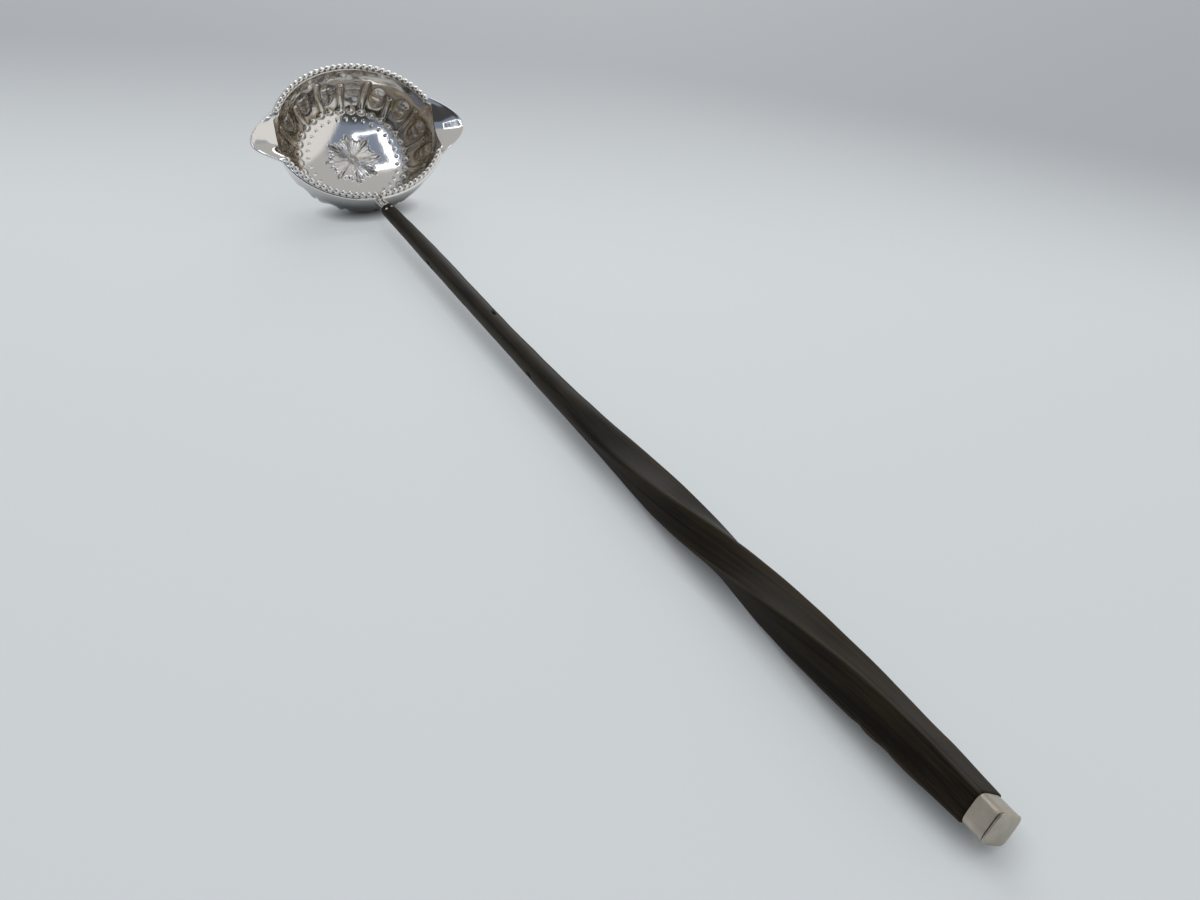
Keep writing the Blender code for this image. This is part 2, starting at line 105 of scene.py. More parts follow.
def count(name, default, description):
    """Return a property for a whole number."""
    return bpy.props.IntProperty(name=name, description=description, default=default, min=1)


def colour(name, default, description):
    """Return a property for a linear colour."""
    return bpy.props.FloatVectorProperty(name=name, description=description, default=default, size=3,
                                         subtype="COLOR", min=0.0, max=1.0)


class BowlSizes(bpy.types.PropertyGroup):
    """Sizes of the raised bowl and of the chasing on it."""

    rim_half_width: length("Rim half width", 0.0320, "From the middle to the rim's edge, lip to lip")
    rim_half_depth: length("Rim half depth", 0.0282, "From the middle to the rim's edge, front to back")
    rim_flange: length("Rim flange", 0.0026, "Width of the flat rim that carries the beading")
    wall: length("Wall", 0.0011, "Thickness of the sheet")
    wall_height: length("Wall height", 0.0180, "From the foot of the wall up to the rim")
    belly_height: length("Belly height", 0.0130, "Depth at which the wall starts to turn in")
    foot_radius: length("Foot radius", 0.0202, "Radius where the wall meets the floor")
    dish_depth: length("Dish depth", 0.0028, "How far the floor sinks in its middle")
    base_flat: length("Base flat", 0.0070, "Radius of the flat under the bowl")
    ribs: count("Ribs", 16, "Finger ribs round the wall")
    rib_radius: length("Rib radius", 0.00118, "Half the width of a rib")
    rib_relief: length("Rib relief", 0.00080, "Height of a rib over the wall")
    rib_reach: length("Rib reach", 0.0124, "How far the ribs climb from the foot")
    panel_relief: length("Panel relief", 0.00085, "Height of the leaf embossed between two ribs")
    foot_bead: length("Foot bead", 0.00178, "Half the width of a bead at the wall's foot")
    foot_bead_relief: length("Foot bead relief", 0.00125, "Height of a bead at the wall's foot")
    dot_ring: length("Dot ring", 0.0168, "Radius of the ring of punched dots")
    dot_radius: length("Dot radius", 0.00062, "Radius of a punched dot")
    dot_relief: length("Dot relief", 0.00022, "Height of a punched dot")
    petals: count("Petals", 8, "Long petals of the rosette, with three short lobes between each two")
    petal_length: length("Petal length", 0.0106, "From the middle to the tip of a long petal")
    petal_relief: length("Petal relief", 0.00100, "Height of the rosette's petals")
    hammering: length("Hammering", 0.000028, "Depth of the hammer marks that ripple the reflections")


class LipSizes(bpy.types.PropertyGroup):
    """Sizes of the two pouring lips."""

    left_turn: turn("Left turn", -0.4, "How far the left lip's tip is turned from square to the handle")
    left_back: turn("Left back", 23.5, "From the left lip's tip to its back end")
    left_front: turn("Left front", 18.0, "From the left lip's tip to its front end")
    right_turn: turn("Right turn", -2.9, "How far the right lip's tip is turned from square to the handle")
    right_back: turn("Right back", 24.5, "From the right lip's tip to its back end")
    right_front: turn("Right front", 24.5, "From the right lip's tip to its front end")
    left_reach: length("Left reach", 0.0070, "How far the left lip stands out past the rim")
    right_reach: length("Right reach", 0.0079, "How far the right lip stands out past the rim")
    roundness: share("Roundness", 1.05, "Exponent of a lip's outline, where less is blunter")
    notch: length("Notch", 0.0034, "How far the bowl's wall is cut down at a lip")
    notch_depth: length("Notch depth", 0.0081, "Depth down the wall at which the notch has faded out")
    crease: length("Crease", 0.0298, "From the middle to the straight crease between bowl and lip")
    thickness: length("Thickness", 0.0009, "Thickness of a lip's sheet")
    trough: length("Trough", 0.0024, "Depth of the lip's channel past the crease")
    tip_drop: length("Tip drop", 0.0010, "Depth of the channel at the tip")
    band: share("Band", 0.40, "Share of the lip over which the channel drops to the crease")
    border: length("Border", 0.00014, "Height of the thickened edge")


class BeadingSizes(bpy.types.PropertyGroup):
    """Sizes of the beaded wire on the rim."""

    bead_diameter: length("Bead diameter", 0.0021, "Diameter of a bead")
    pitch: length("Pitch", 0.00235, "From bead to bead")
    neck_diameter: length("Neck diameter", 0.0007, "Diameter of the wire between two beads")
    sunk: share("Sunk", 0.72, "Height of the wire's line over the flange, in bead radii")
    inset: length("Inset", 0.0016, "From the rim's edge in to the wire's line")


class StemSizes(bpy.types.PropertyGroup):
    """Sizes of the silver stem and of its two pins."""

    overhang: length("Overhang", 0.0033, "From the rim's edge to where the handle's line meets its plane")
    diameter: length("Diameter", 0.0039, "Diameter of the stem")
    length: length("Length", 0.0024, "From the rim's plane to where the handle is measured from")
    pin_diameter: length("Pin diameter", 0.0009, "Diameter of a pin's head")
    pin_spacing: length("Pin spacing", 0.0019, "Between the two pins")
    pin_turn: turn("Pin turn", 18.0, "How far the pins are turned from upright, to the left")
    pin_place: length("Pin place", 0.0047, "From the handle's end to the pins")


class HandleSizes(bpy.types.PropertyGroup):
    """Sizes of the twisted handle."""

    rise: turn("Rise", 43.9, "Angle of the handle over the plane of the rim")
    length: length("Length", 0.3140, "From where the handle is measured from to the cap")
    end_side: length("End side", 0.0048, "Thickness at the stem")
    end_rounding: length("End rounding", 0.0012, "Radius of the rounded end at the stem")
    bare: length("Bare", 0.0028, "Length of bare stem that shows before the handle's rounded end")
    grip_side: length("Grip side", 0.0058, "Thickness of the slender half")
    grip_start: length("Grip start", 0.0480, "From the stem to where the handle has the grip's thickness")
    grip_end: length("Grip end", 0.1200, "From the stem to where it starts to thicken")
    twist_side: length("Twist side", 0.0069, "Thickness where the twist starts")
    butt_side: length("Butt side", 0.0079, "Thickness before the shoulder")
    shoulder_side: length("Shoulder side", 0.0063, "Thickness at the cap")
    shoulder_taper: length("Shoulder taper", 0.0300, "Length of the taper to the cap")
    bow: length("Bow", 0.0012, "Sag of the handle's middle")
    side_bow: length("Side bow", 0.0012, "Bend of the handle's middle to the left")
    squaring_start: length("Squaring start", 0.1580, "From the stem to where the handle starts to be square")
    squaring_length: length("Squaring length", 0.0640, "Length over which it turns square")
    twist_start: length("Twist start", 0.1720, "From the stem to the start of the twist")
    twist_length: length("Twist length", 0.1280, "Length of the twist")
    face_turn: turn("Face turn", -28.0, "Turn of the top face at the stem")
    twist: turn("Twist", 150.0, "Turn of the faces from stem to cap")
    stem_sharpness: share("Stem sharpness", 2.4, "Exponent of the section at the stem, where 2 is round")
    arris_sharpness: share("Arris sharpness", 11.0, "Exponent of the section where it is square")
    unevenness: length("Unevenness", 0.00007, "Depth of the hand-cut waves along the faces")


class CapSizes(bpy.types.PropertyGroup):
    """Sizes of the square end cap."""

    side: length("Side", 0.0061, "Outside of the sleeve, from face to face")
    wall: length("Wall", 0.0006, "Thickness of the sleeve's sheet")
    sleeve_length: length("Sleeve length", 0.0037, "Length of the sleeve")
    plate_side: length("Plate side", 0.0062, "Side of the closing plate")
    plate_thickness: length("Plate thickness", 0.0009, "Thickness of the closing plate")
    sharpness: share("Sharpness", 5.0, "Exponent of the rounded square")
    edge: length("Edge", 0.00018, "Radius of the softened edges")
    lap: length("Lap", 0.00072, "How far the sleeve reaches past its seat towards the plate's face")
    seam: length("Seam", 0.00020, "Width of the open seam between sleeve and plate")
    crown: length("Crown", 0.00012, "How far the plate's middle stands proud")
    seat_gap: length("Seat gap", 0.0003, "Clearance between seated pieces")


class Finishes(bpy.types.PropertyGroup):
    """Colours of the silver and of the baleen."""

    silver: colour("Silver", (0.88, 0.86, 0.83), "Polished high silver")
    toned: colour("Toned", (0.36, 0.308, 0.240), "Silver in the hollows of the chasing")
    # Painted shade: the colour that darkens the silver under the bowl, most in front
    painted_under_shade: colour("Dulled", (0.19, 0.20, 0.19), "Silver under the bowl, which is seldom rubbed")
    satin: colour("Satin", (0.54, 0.488, 0.410), "Rubbed silver of the cap")
    baleen: colour("Baleen", (0.0140, 0.0122, 0.0084), "Dark ground of the handle")
    streak: colour("Streak", (0.052, 0.039, 0.024), "Brown fibres in the handle")
    # Also the colour of a painted reflection along the handle's left flank
    worn: colour("Worn", (0.080, 0.068, 0.050), "Baleen rubbed pale along the arrises")


class Stage(bpy.types.PropertyGroup):
    """Floor, light and camera."""

    floor: colour("Floor", (0.410, 0.431, 0.444), "Pale paper under the ladle")
    far_floor: colour("Far floor", (0.235, 0.249, 0.262), "The same paper where less light falls")
    glow: share("Glow", 0.85, "Light that the paper adds for the eye, as a share of its colour")
    nook: length("Nook", 0.006, "Distance within which the ladle keeps that light off the paper")
    mirrored_nook: length("Mirrored nook", 0.03, "The same distance, for paper that is seen in the silver")
    focal_length: bpy.props.FloatProperty(name="Focal length", description="Camera's focal length, on 36 mm",
                                          default=36.12, unit="CAMERA")
    heading: turn("Heading", 26.01, "Camera's turn to the right of +Y")
    dip: turn("Dip", 29.73, "Camera's tilt below the horizon")
    roll: turn("Roll", 0.45, "Camera's turn about its own line of sight")
    stand: bpy.props.FloatVectorProperty(name="Stand", description="Where the camera stands", unit="LENGTH",
                                         default=(-0.1135, -0.2778, 0.1466), size=3)


GROUPS = {
    "ladle_bowl": BowlSizes, "ladle_lips": LipSizes, "ladle_beading": BeadingSizes, "ladle_stem": StemSizes,
    "ladle_handle": HandleSizes, "ladle_cap": CapSizes, "ladle_finish": Finishes, "ladle_stage": Stage,
}


def unit(vectors):
    """Return vectors of length 1 along the given ones."""
    return vectors / np.linalg.norm(vectors, axis=-1, keepdims=True)


def circle(columns):
    """Return even angles round a circle."""
    return 2 * np.pi * np.arange(columns) / columns


class Axes:
    """A piece's own axes: z along a given direction, x along the row frame's x."""

    def __init__(self, origin, direction):
        z = unit(np.asarray(direction, float))
        x = np.array((1.0, 0.0, 0.0))
        self.origin = np.asarray(origin, float)
        self.rows = np.stack((x, np.cross(z, x), z))

    def place(self, points):
        """Turn points from these axes into the row frame."""
        return self.origin + points @ self.rows


def bowl_axes(bowl):
    """Return the axes at the middle of the rim, from the mount under the bowl: z is the rim's normal."""
    mount = MOUNTS["bowl_base"]
    up = -np.array(mount["axis"])
    base = np.array(mount["pos_m"]) * (0.0, 1.0, 1.0)
    return Axes(base + up * (bowl.wall_height + bowl.dish_depth + bowl.wall), up)


def handle_start(stem, cap):
    """Return the distance from the rim's plane to where the handle is measured from, along its line."""
    return stem.length + cap.seat_gap


def handle_axes(stem, handle, cap):
    """Return the axes where the handle's line meets the rim's plane: z runs down it to the cap's mount."""
    mount = MOUNTS["cap_end_face"]
    along = np.array(mount["axis"])
    run = handle_start(stem, cap) + handle.length + cap.sleeve_length + cap.plate_thickness
    return Axes(np.array(mount["pos_m"]) - along * (run + 2 * cap.seat_gap), along)


def ease(value):
    """Ease from 0 to 1, level at both ends."""
    held = np.clip(value, 0.0, 1.0)
    return held * held * (3.0 - 2.0 * held)


def bell(value):
    """Return a bell curve of height and half width 1."""
    return np.exp(-value ** 2)


def dome(squared):
    """Return a round bump from a squared distance: 1 in the middle, 0 from distance 1 outwards."""
    return np.clip(1.0 - squared, 0.0, None) ** 0.55


def from_nearest(angle, number, offset=0.0):
    """Return the angle from the nearest of a number of even places, shifted by a share of their step."""
    step = 2 * np.pi / number
    return (angle - offset * step + step / 2) % step - step / 2


def waves(seed, first, second, rates, others):
    """Return smooth seeded ripples of two coordinates: a mean of products of cosines at the given rates."""
    draw = np.random.default_rng(seed)
    total = 0.0
    for rate, other in zip(rates, others):
        start, start_other = draw.uniform(0, 2 * np.pi, 2)
        total = total + np.cos(rate * first + start) * np.cos(other * second + start_other)
    return total / len(rates)


def surface(name, grid, finish, layers=None, ring=False, sharp=None):
    """Make a closed mesh from a grid of points whose columns run round and whose rows run along.

    Each cell is one four-sided face. A ring joins its last row to its first. Otherwise a fan of triangles
    closes each end at the mean of its row. The faces are turned so that they enclose a positive volume.
    """
    rows, columns = grid.shape[:2]
    index = np.arange(rows * columns).reshape(rows, columns)
    lower = index if ring else index[:-1]
    upper = np.roll(index, -1, axis=0) if ring else index[1:]
    quads = np.stack((lower, np.roll(lower, -1, 1), np.roll(upper, -1, 1), upper), axis=-1).reshape(-1, 4)
    points = grid.reshape(-1, 3)
    a, b, c, d = (points[quads[:, corner]] for corner in range(4))
    inside_out = np.sum(a * np.cross(b, c)) + np.sum(a * np.cross(c, d)) < 0
    faces = quads[:, ::-1].tolist() if inside_out else quads.tolist()
    values = {key: layer.reshape(rows * columns, -1) for key, layer in (layers or {}).items()}
    if not ring:
        ends = ((index[0][::-1], grid[0], 0), (index[-1], grid[-1], -1))
        for number, (loop, line, row) in enumerate(ends):
            tip = np.full(columns, rows * columns + number)
            fan = np.stack((loop, np.roll(loop, -1), tip), axis=-1)
            faces += (fan[:, ::-1] if inside_out else fan).tolist()
            points = np.concatenate((points, line.mean(axis=0)[None]))
            for key, layer in (layers or {}).items():
                mean = layer[row].reshape(columns, -1).mean(axis=0)[None]
                values[key] = np.concatenate((values[key], mean))
    mesh = bpy.data.meshes.new(name)
    mesh.from_pydata(points.tolist(), [], faces)
    for key, layer in values.items():
        kind, field = ("FLOAT", "value") if layer.shape[1] == 1 else ("FLOAT_VECTOR", "vector")
        mesh.attributes.new(key, kind, "POINT").data.foreach_set(field, layer.astype(np.float32).ravel())
    mesh.shade_smooth()
    if sharp is not None:
        mesh.set_sharp_from_angle(angle=sharp)
    mesh.materials.append(finish)
    made = bpy.data.objects.new(name, mesh)
    bpy.context.scene.collection.objects.link(made)
    return made


def stand_for(piece, slot, *nodes):
    """Let a piece ride with the ladle in the place of the nodes that it stands for."""
    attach(piece, "root")
    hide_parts(*nodes)


# How strongly a rounded square's points gather at its corners
CORNER_GATHERING = 0.18


def rounded_square(columns, side, sharpness):
    """Return a superellipse as x and y, with points gathered at its corners.

    The radius at an angle is side / 2 / (|cos| ** n + |sin| ** n) ** (1 / n), where n is the sharpness.
    """
    even = circle(columns)
    angle = even + CORNER_GATHERING * np.sin(4 * even)
    powers = np.abs(np.cos(angle)) ** sharpness + np.abs(np.sin(angle)) ** sharpness
    radius = side / 2 * powers ** (-1 / sharpness)
    return radius * np.cos(angle), radius * np.sin(angle)


def lip_ends(lips, on_right):
    """Return a lip's middle angle and its half angles towards larger and towards smaller angles."""
    if on_right:
        return lips.right_turn, lips.right_back, lips.right_front
    return np.pi + lips.left_turn, lips.left_front, lips.left_back


def lip_share(lips, angle):
    """Return the angle from the nearer lip's middle as a share of its half angle, and that half angle."""
    on_right = np.cos(angle) > 0
    share_of, half_of = [], []
    for side in (True, False):
        middle, above, below = lip_ends(lips, side)
        away = (angle - middle + np.pi) % (2 * np.pi) - np.pi
        half = np.where(away > 0, above, below)
        share_of.append(np.abs(away) / half)
        half_of.append(half)
    return np.where(on_right, *share_of), np.where(on_right, *half_of)


# Share of a lip's half angle over which the wall is drawn out to the crease
CREASE_BLEND = 0.3


def bowl_place(bowl, lips, radius, angle, height):
    """Turn a radius, angle and height on the turned bowl into a point on the real one.

    The plan goes from round at the wall's foot to oval at the rim. At a lip the wall is drawn out to a
    straight crease and cut down by cos(pi / 2 * share) ** 2 of the notch, which fades out down the wall.
    """
    apart, half = lip_share(lips, angle)
    fade = np.clip(1.0 + height / lips.notch_depth, 0.0, 1.0)
    bite = np.cos(np.pi / 2 * np.clip(apart, 0, 1)) ** 2 * fade
    chord = lips.crease / np.cos(np.clip(apart, 0, 1) * half)
    drawn = ease((1.0 - apart) / CREASE_BLEND) * fade ** 2
    oval = bowl.rim_half_depth / bowl.rim_half_width
    squeeze = 1.0 + (oval - 1.0) * np.clip(1.0 + height / bowl.wall_height, 0.0, 1.0)
    radius = radius * (1.0 + (chord / (bowl.rim_half_width - bowl.rim_flange) - 1.0) * drawn)
    across, deep = radius * np.cos(angle), radius * squeeze * np.sin(angle)
    return np.stack((across, deep, height - lips.notch * bite), axis=-1)


def inner_section(bowl):
    """Return the inside's section from the middle out as radius, height, normal and run.

    The floor is a parabola and the wall a quadratic curve that leaves the rim straight down. The run is the
    distance along the section, 0 at the foot of the wall and negative on the floor.
    """
    rim = bowl.rim_half_width - bowl.rim_flange
    floor = bowl.foot_radius * np.arange(1, FLOOR_ROWS + 1) / FLOOR_ROWS
    floor_height = -bowl.wall_height - bowl.dish_depth * (1 - (floor / bowl.foot_radius) ** 2)
    t = np.linspace(1.0, 0.0, WALL_ROWS + 1)[1:]
    wall = rim - (rim - bowl.foot_radius) * t ** 2
    wall_height = -2 * t * (1 - t) * bowl.belly_height - t ** 2 * bowl.wall_height
    radius, height = np.concatenate((floor, wall)), np.concatenate((floor_height, wall_height))
    run = np.concatenate(([0.0], np.cumsum(np.hypot(np.diff(radius), np.diff(height)))))
    slope = np.stack((np.gradient(radius, run), np.gradient(height, run)))
    slope = slope / np.linalg.norm(slope, axis=0)
    return radius, height, np.stack((-slope[1], slope[0])), run - run[FLOOR_ROWS - 1]


# Hand-chased ribs round the bowl from the right: shift at the foot, lean, share of the mean reach
RIBS = (
    (0.0, 0.04, 0.80), (-0.0005, 0.08, 1.12), (-0.0008, 0.17, 0.83), (0.0002, -0.02, 1.15),
    (-0.0005, -0.05, 0.93), (-0.0014, -0.07, 1.18), (-0.0005, -0.11, 0.86), (0.0005, -0.04, 1.07),
    (0.0002, 0.05, 1.0), (-0.0003, 0.0, 0.95), (0.0004, -0.06, 1.05), (0.0, 0.03, 0.9),
    (0.0003, 0.06, 1.0), (-0.0002, -0.04, 1.08), (0.0, 0.05, 0.92), (-0.0008, -0.02, 0.78),
)

# Chased line round each rib: place and width in rib radii, depth as a share of the rib's relief
RIB_LINE_PLACE = 1.3
RIB_LINE_WIDTH = 0.32
RIB_LINE_DEPTH = 0.34


def rib_relief(bowl, angle, run, radius):
    """Return the finger ribs: round-ended bars where RIBS puts them, with a chased line along each side."""
    table = np.array(RIBS)
    which = np.rint(angle / (2 * np.pi / bowl.ribs)).astype(int) % bowl.ribs
    shift, lean, reach = (table[which % len(table), column] for column in range(3))
    across = from_nearest(angle, bowl.ribs) * radius - shift - lean * np.clip(run, 0, None)
    past_end = run - np.clip(run, bowl.foot_bead, reach * bowl.rib_reach - bowl.rib_radius)
    distance = np.hypot(across, past_end) / bowl.rib_radius
    line = bell((distance - RIB_LINE_PLACE) / RIB_LINE_WIDTH) * ease(run / bowl.foot_bead)
    return bowl.rib_relief * (dome(distance ** 2) - RIB_LINE_DEPTH * line)


# Leaves: margin in rib radii, middle and half height as shares of the ribs' reach, knops on a leaf
LEAF_SEED = 9
LEAF_MARGIN = 1.6
LEAF_MIDDLE = 0.66
LEAF_HALF_HEIGHT = 0.38
KNOP_PLACES = (-0.46, 0.0, 0.42)
KNOP_ROW = 0.35

# Heights of a leaf's forms as shares of the panel's relief
SWELL_HEIGHT = 0.35
BODY_HEIGHT = 0.55
FOLD_HEIGHT = 0.24
FURROW_HEIGHT = 0.05
KNOP_HEIGHT = 0.30

# Plain panels as shares of the way round, height of their swelling, and what the leaves gain at the sides
PLAIN_PANELS = (3 / 16, 11 / 16)
PLAIN_HEIGHT = 0.4
SIDE_GAIN = 0.4


def leaf_relief(bowl, angle, run, radius):
    """Return the embossed leaves between the ribs: a swelling with a slanting fold, furrows and knops.

    u runs from -1 to 1 across a panel, v from 0 to 1 up it, and w from -1 to 1 up the leaf itself. Two panels
    have only a low swelling, and the leaves at the bowl's sides stand higher than those in front and behind.
    """
    step = 2 * np.pi / bowl.ribs
    which = np.floor(angle / step).astype(int) % bowl.ribs
    draw = np.random.default_rng(LEAF_SEED)
    slant = draw.uniform(-0.35, 0.35, bowl.ribs)[which]
    lift = draw.uniform(-0.08, 0.08, bowl.ribs)[which]
    swirl = draw.uniform(0, 2 * np.pi, bowl.ribs)[which]
    plain = np.isin(which, [int(place * bowl.ribs) for place in PLAIN_PANELS])
    half = step / 2 * radius - LEAF_MARGIN * bowl.rib_radius
    u = from_nearest(angle, bowl.ribs, 0.5) * radius / half
    v = run / bowl.rib_reach
    swell = SWELL_HEIGHT * np.clip(1 - u ** 2, 0, 1) * ease((v - 0.12) / 0.3) * ease((1.1 - v) / 0.3)
    w = (v - LEAF_MIDDLE - lift) / LEAF_HALF_HEIGHT
    body = dome(u ** 2 / 0.95 + w ** 2)
    fold = bell((w + 0.25 - slant * u) / 0.22) * np.clip(1 - u ** 2 - 0.5 * w ** 2, 0, 1)
    furrow = body * np.cos(5.0 * np.arctan2(u, w + 1.3) + swirl)
    knops = sum(dome(((u - place) ** 2 + ((w - KNOP_ROW) * 0.9) ** 2) / 0.07) for place in KNOP_PLACES)
    leaf = swell + BODY_HEIGHT * body + FOLD_HEIGHT * fold + FURROW_HEIGHT * furrow + KNOP_HEIGHT * knops
    relief = np.where(plain, PLAIN_HEIGHT * swell, leaf) * (np.abs(u) < 1)
    return bowl.panel_relief * relief * (1 + SIDE_GAIN * np.cos(angle) ** 2)


# Length of a foot bead up the wall as a share of its width
FOOT_BEAD_SQUASH = 0.80


def foot_beads(bowl, angle, run, radius):
    """Return the beads round the wall's foot as heights from 0 to 1, one at each rib and one between."""
    across = from_nearest(angle, 2 * bowl.ribs) * radius / bowl.foot_bead
    return dome(across ** 2 + (run / (FOOT_BEAD_SQUASH * bowl.foot_bead)) ** 2)


def foot_relief(bowl, angle, run, radius):
    """Return the beads round the wall's foot and the ring of dots inside them."""
    bead = foot_beads(bowl, angle, run, radius)
    shift = from_nearest(angle, 2 * bowl.ribs, 0.5) * radius
    from_dot = np.hypot(shift, radius - bowl.dot_ring) / bowl.dot_radius
    dot = dome(from_dot ** 2)
    return bowl.foot_bead_relief * bead + bowl.dot_relief * dot * (run < 0)


# Rosette: where a petal is widest as a share of its reach, radius and height of the centre bead
PETAL_WIDEST = 0.80
CENTRE_BEAD = 0.00115
CENTRE_HEIGHT = 1.05

# Chased line round the centre bead: place and width in its radii, depth as a share of its height
CENTRE_LINE_PLACE = 1.25
CENTRE_LINE_WIDTH = 0.22
CENTRE_LINE_DEPTH = 0.5

# Whorls of the rosette: height, place between two long petals, share of their reach, half width, ridge
WHORLS = (
    (1.0, 0.0, 1.0, 0.00105, 0.2), (0.50, 0.30, 0.86, 0.00080, -0.2),
    (0.50, 0.70, 0.86, 0.00080, -0.2), (0.60, 0.5, 0.80, 0.00095, -0.2),
)


def petal(angle, radius, number, offset, reach, width, ridge):
    """Return one whorl of petals: clubs that widen evenly to a round end, with a ridge or a vein."""
    along = radius / reach
    off = from_nearest(angle, number, offset) * radius
    half = width * np.minimum(along / PETAL_WIDEST, 1.0)
    past = np.clip(along - PETAL_WIDEST, 0, None) / (1 - PETAL_WIDEST)
    form = dome((off / np.maximum(half, 1e-6)) ** 2 + past ** 2)
    return form * (1.0 + ridge * (bell(off / (0.3 * half + 1e-6)) - 0.5))


def rosette_relief(bowl, angle, radius):
    """Return the rosette: long narrow petals, three short lobes between each two, and a centre bead."""
    whorls = [tall * petal(angle, radius, bowl.petals, place, reach * bowl.petal_length, width, ridge)
              for tall, place, reach, width, ridge in WHORLS]
    from_bead = radius / CENTRE_BEAD
    line = bell((from_bead - CENTRE_LINE_PLACE) / CENTRE_LINE_WIDTH)
    button = dome(from_bead ** 2) - CENTRE_LINE_DEPTH * line
    whorl = np.maximum.reduce(whorls) * ease((from_bead - 1) / 0.8)
    return bowl.petal_relief * (whorl + CENTRE_HEIGHT * button)


# Hammer marks: seed, rates round the bowl and along its section
HAMMER_SEED = 2
HAMMER_ROUND = (9, 14, 19, 23, 31)
HAMMER_ALONG = (700, 1150, 900, 1500, 1900)

# Strength of the marks on the floor and what the wall adds, blend between them, and radius of the calm middle
FLOOR_MARKS = 0.18
WALL_MARKS = 1.2
MARKS_BLEND = 0.0004
CALM_MIDDLE = 0.004


def chasing(bowl, angle, run, radius):
    """Return the height of the chased work over the plain inside of the bowl."""
    raised = np.maximum(rib_relief(bowl, angle, run, radius), leaf_relief(bowl, angle, run, radius))
    relief = np.where(run > 0, raised, 0.0) + foot_relief(bowl, angle, run, radius)
    relief = relief + rosette_relief(bowl, angle, radius)
    wall = ease((run + MARKS_BLEND) / (2 * MARKS_BLEND))
    marks = waves(HAMMER_SEED, angle, run, HAMMER_ROUND, HAMMER_ALONG)
    strength = FLOOR_MARKS + WALL_MARKS * wall
    return relief + bowl.hammering * marks * strength * ease(radius / CALM_MIDDLE)


def hollows(relief, reach):
    """Return how far each place lies below its surroundings: the mean of a window less the place itself."""
    mean = relief
    for axis in (1, 0):
        shifted = [np.roll(mean, step, axis=axis) for step in range(-reach, reach + 1)]
        mean = sum(shifted) / len(shifted)
    return mean - relief


# Tone of the bowl: cells round a place and depth of a full hollow, blends at the foot and over the ribs
HOLLOW_REACH = 4
HOLLOW_DEPTH = 0.0003
FOOT_BLEND = 0.001
BAND_BLEND = 0.003

# Where a painted reflection lightens the band over the ribs most: its angle and the angle's range
BAND_REFLECTION_ANGLE = 2.1
BAND_REFLECTION_RANGE = 0.35


def bowl_layers(bowl, angle, run, radius, relief, outer_height):
    """Return how hollow and toned each point of the bowl is, and its painted shade: rows of the inside, then
    of the outside.

    The inner wall is toned, with painted shade that darkens it more at the sides, towards the lips.
    It is toned less on its foot beads and on the plain band over the ribs, where a painted reflection
    lightens the back left most. The outside is painted darker towards the base by a little tone and by
    painted shade, most in front.
    """
    low = hollows(relief, HOLLOW_REACH) / HOLLOW_DEPTH
    low[-RIM_ROWS:] = 0.0
    beads = ease(2 * foot_beads(bowl, angle, run, radius))
    # Painted reflection: the band over the ribs is toned less, and least at the back left
    rubbed = 0.2 + 0.6 * bell((angle - BAND_REFLECTION_ANGLE) / BAND_REFLECTION_RANGE)
    band = ease((run - bowl.rib_reach) / BAND_BLEND) * rubbed
    wall = ease((run + FOOT_BLEND) / (2 * FOOT_BLEND)) * (1 - 0.9 * beads)
    # Painted shade: the wall is darkened more at the sides, towards the lips
    wall = wall * (0.50 + 0.85 * np.cos(angle) ** 2) * (1 - band)
    # Painted shade under the outside, most in front, for the shadowed paper that it mirrors
    below = ease((-outer_height / bowl.wall_height - 0.1) / 0.4)
    dull = below * (0.15 + 0.7 * ease((-np.sin(angle) - 0.7) / 0.25))
    return {"hollow": np.concatenate((np.clip(low, -1, 1), 0 * outer_height)),
            "wall": np.concatenate((wall, 0.2 * below)), "dull": np.concatenate((0 * wall, dull))}


# Where the flange comes back beside a lip and over how much, in its half angles, and the chasing seen outside
FLANGE_BACK = 0.93
FLANGE_BLEND = 0.07
SHOW_THROUGH = 0.8


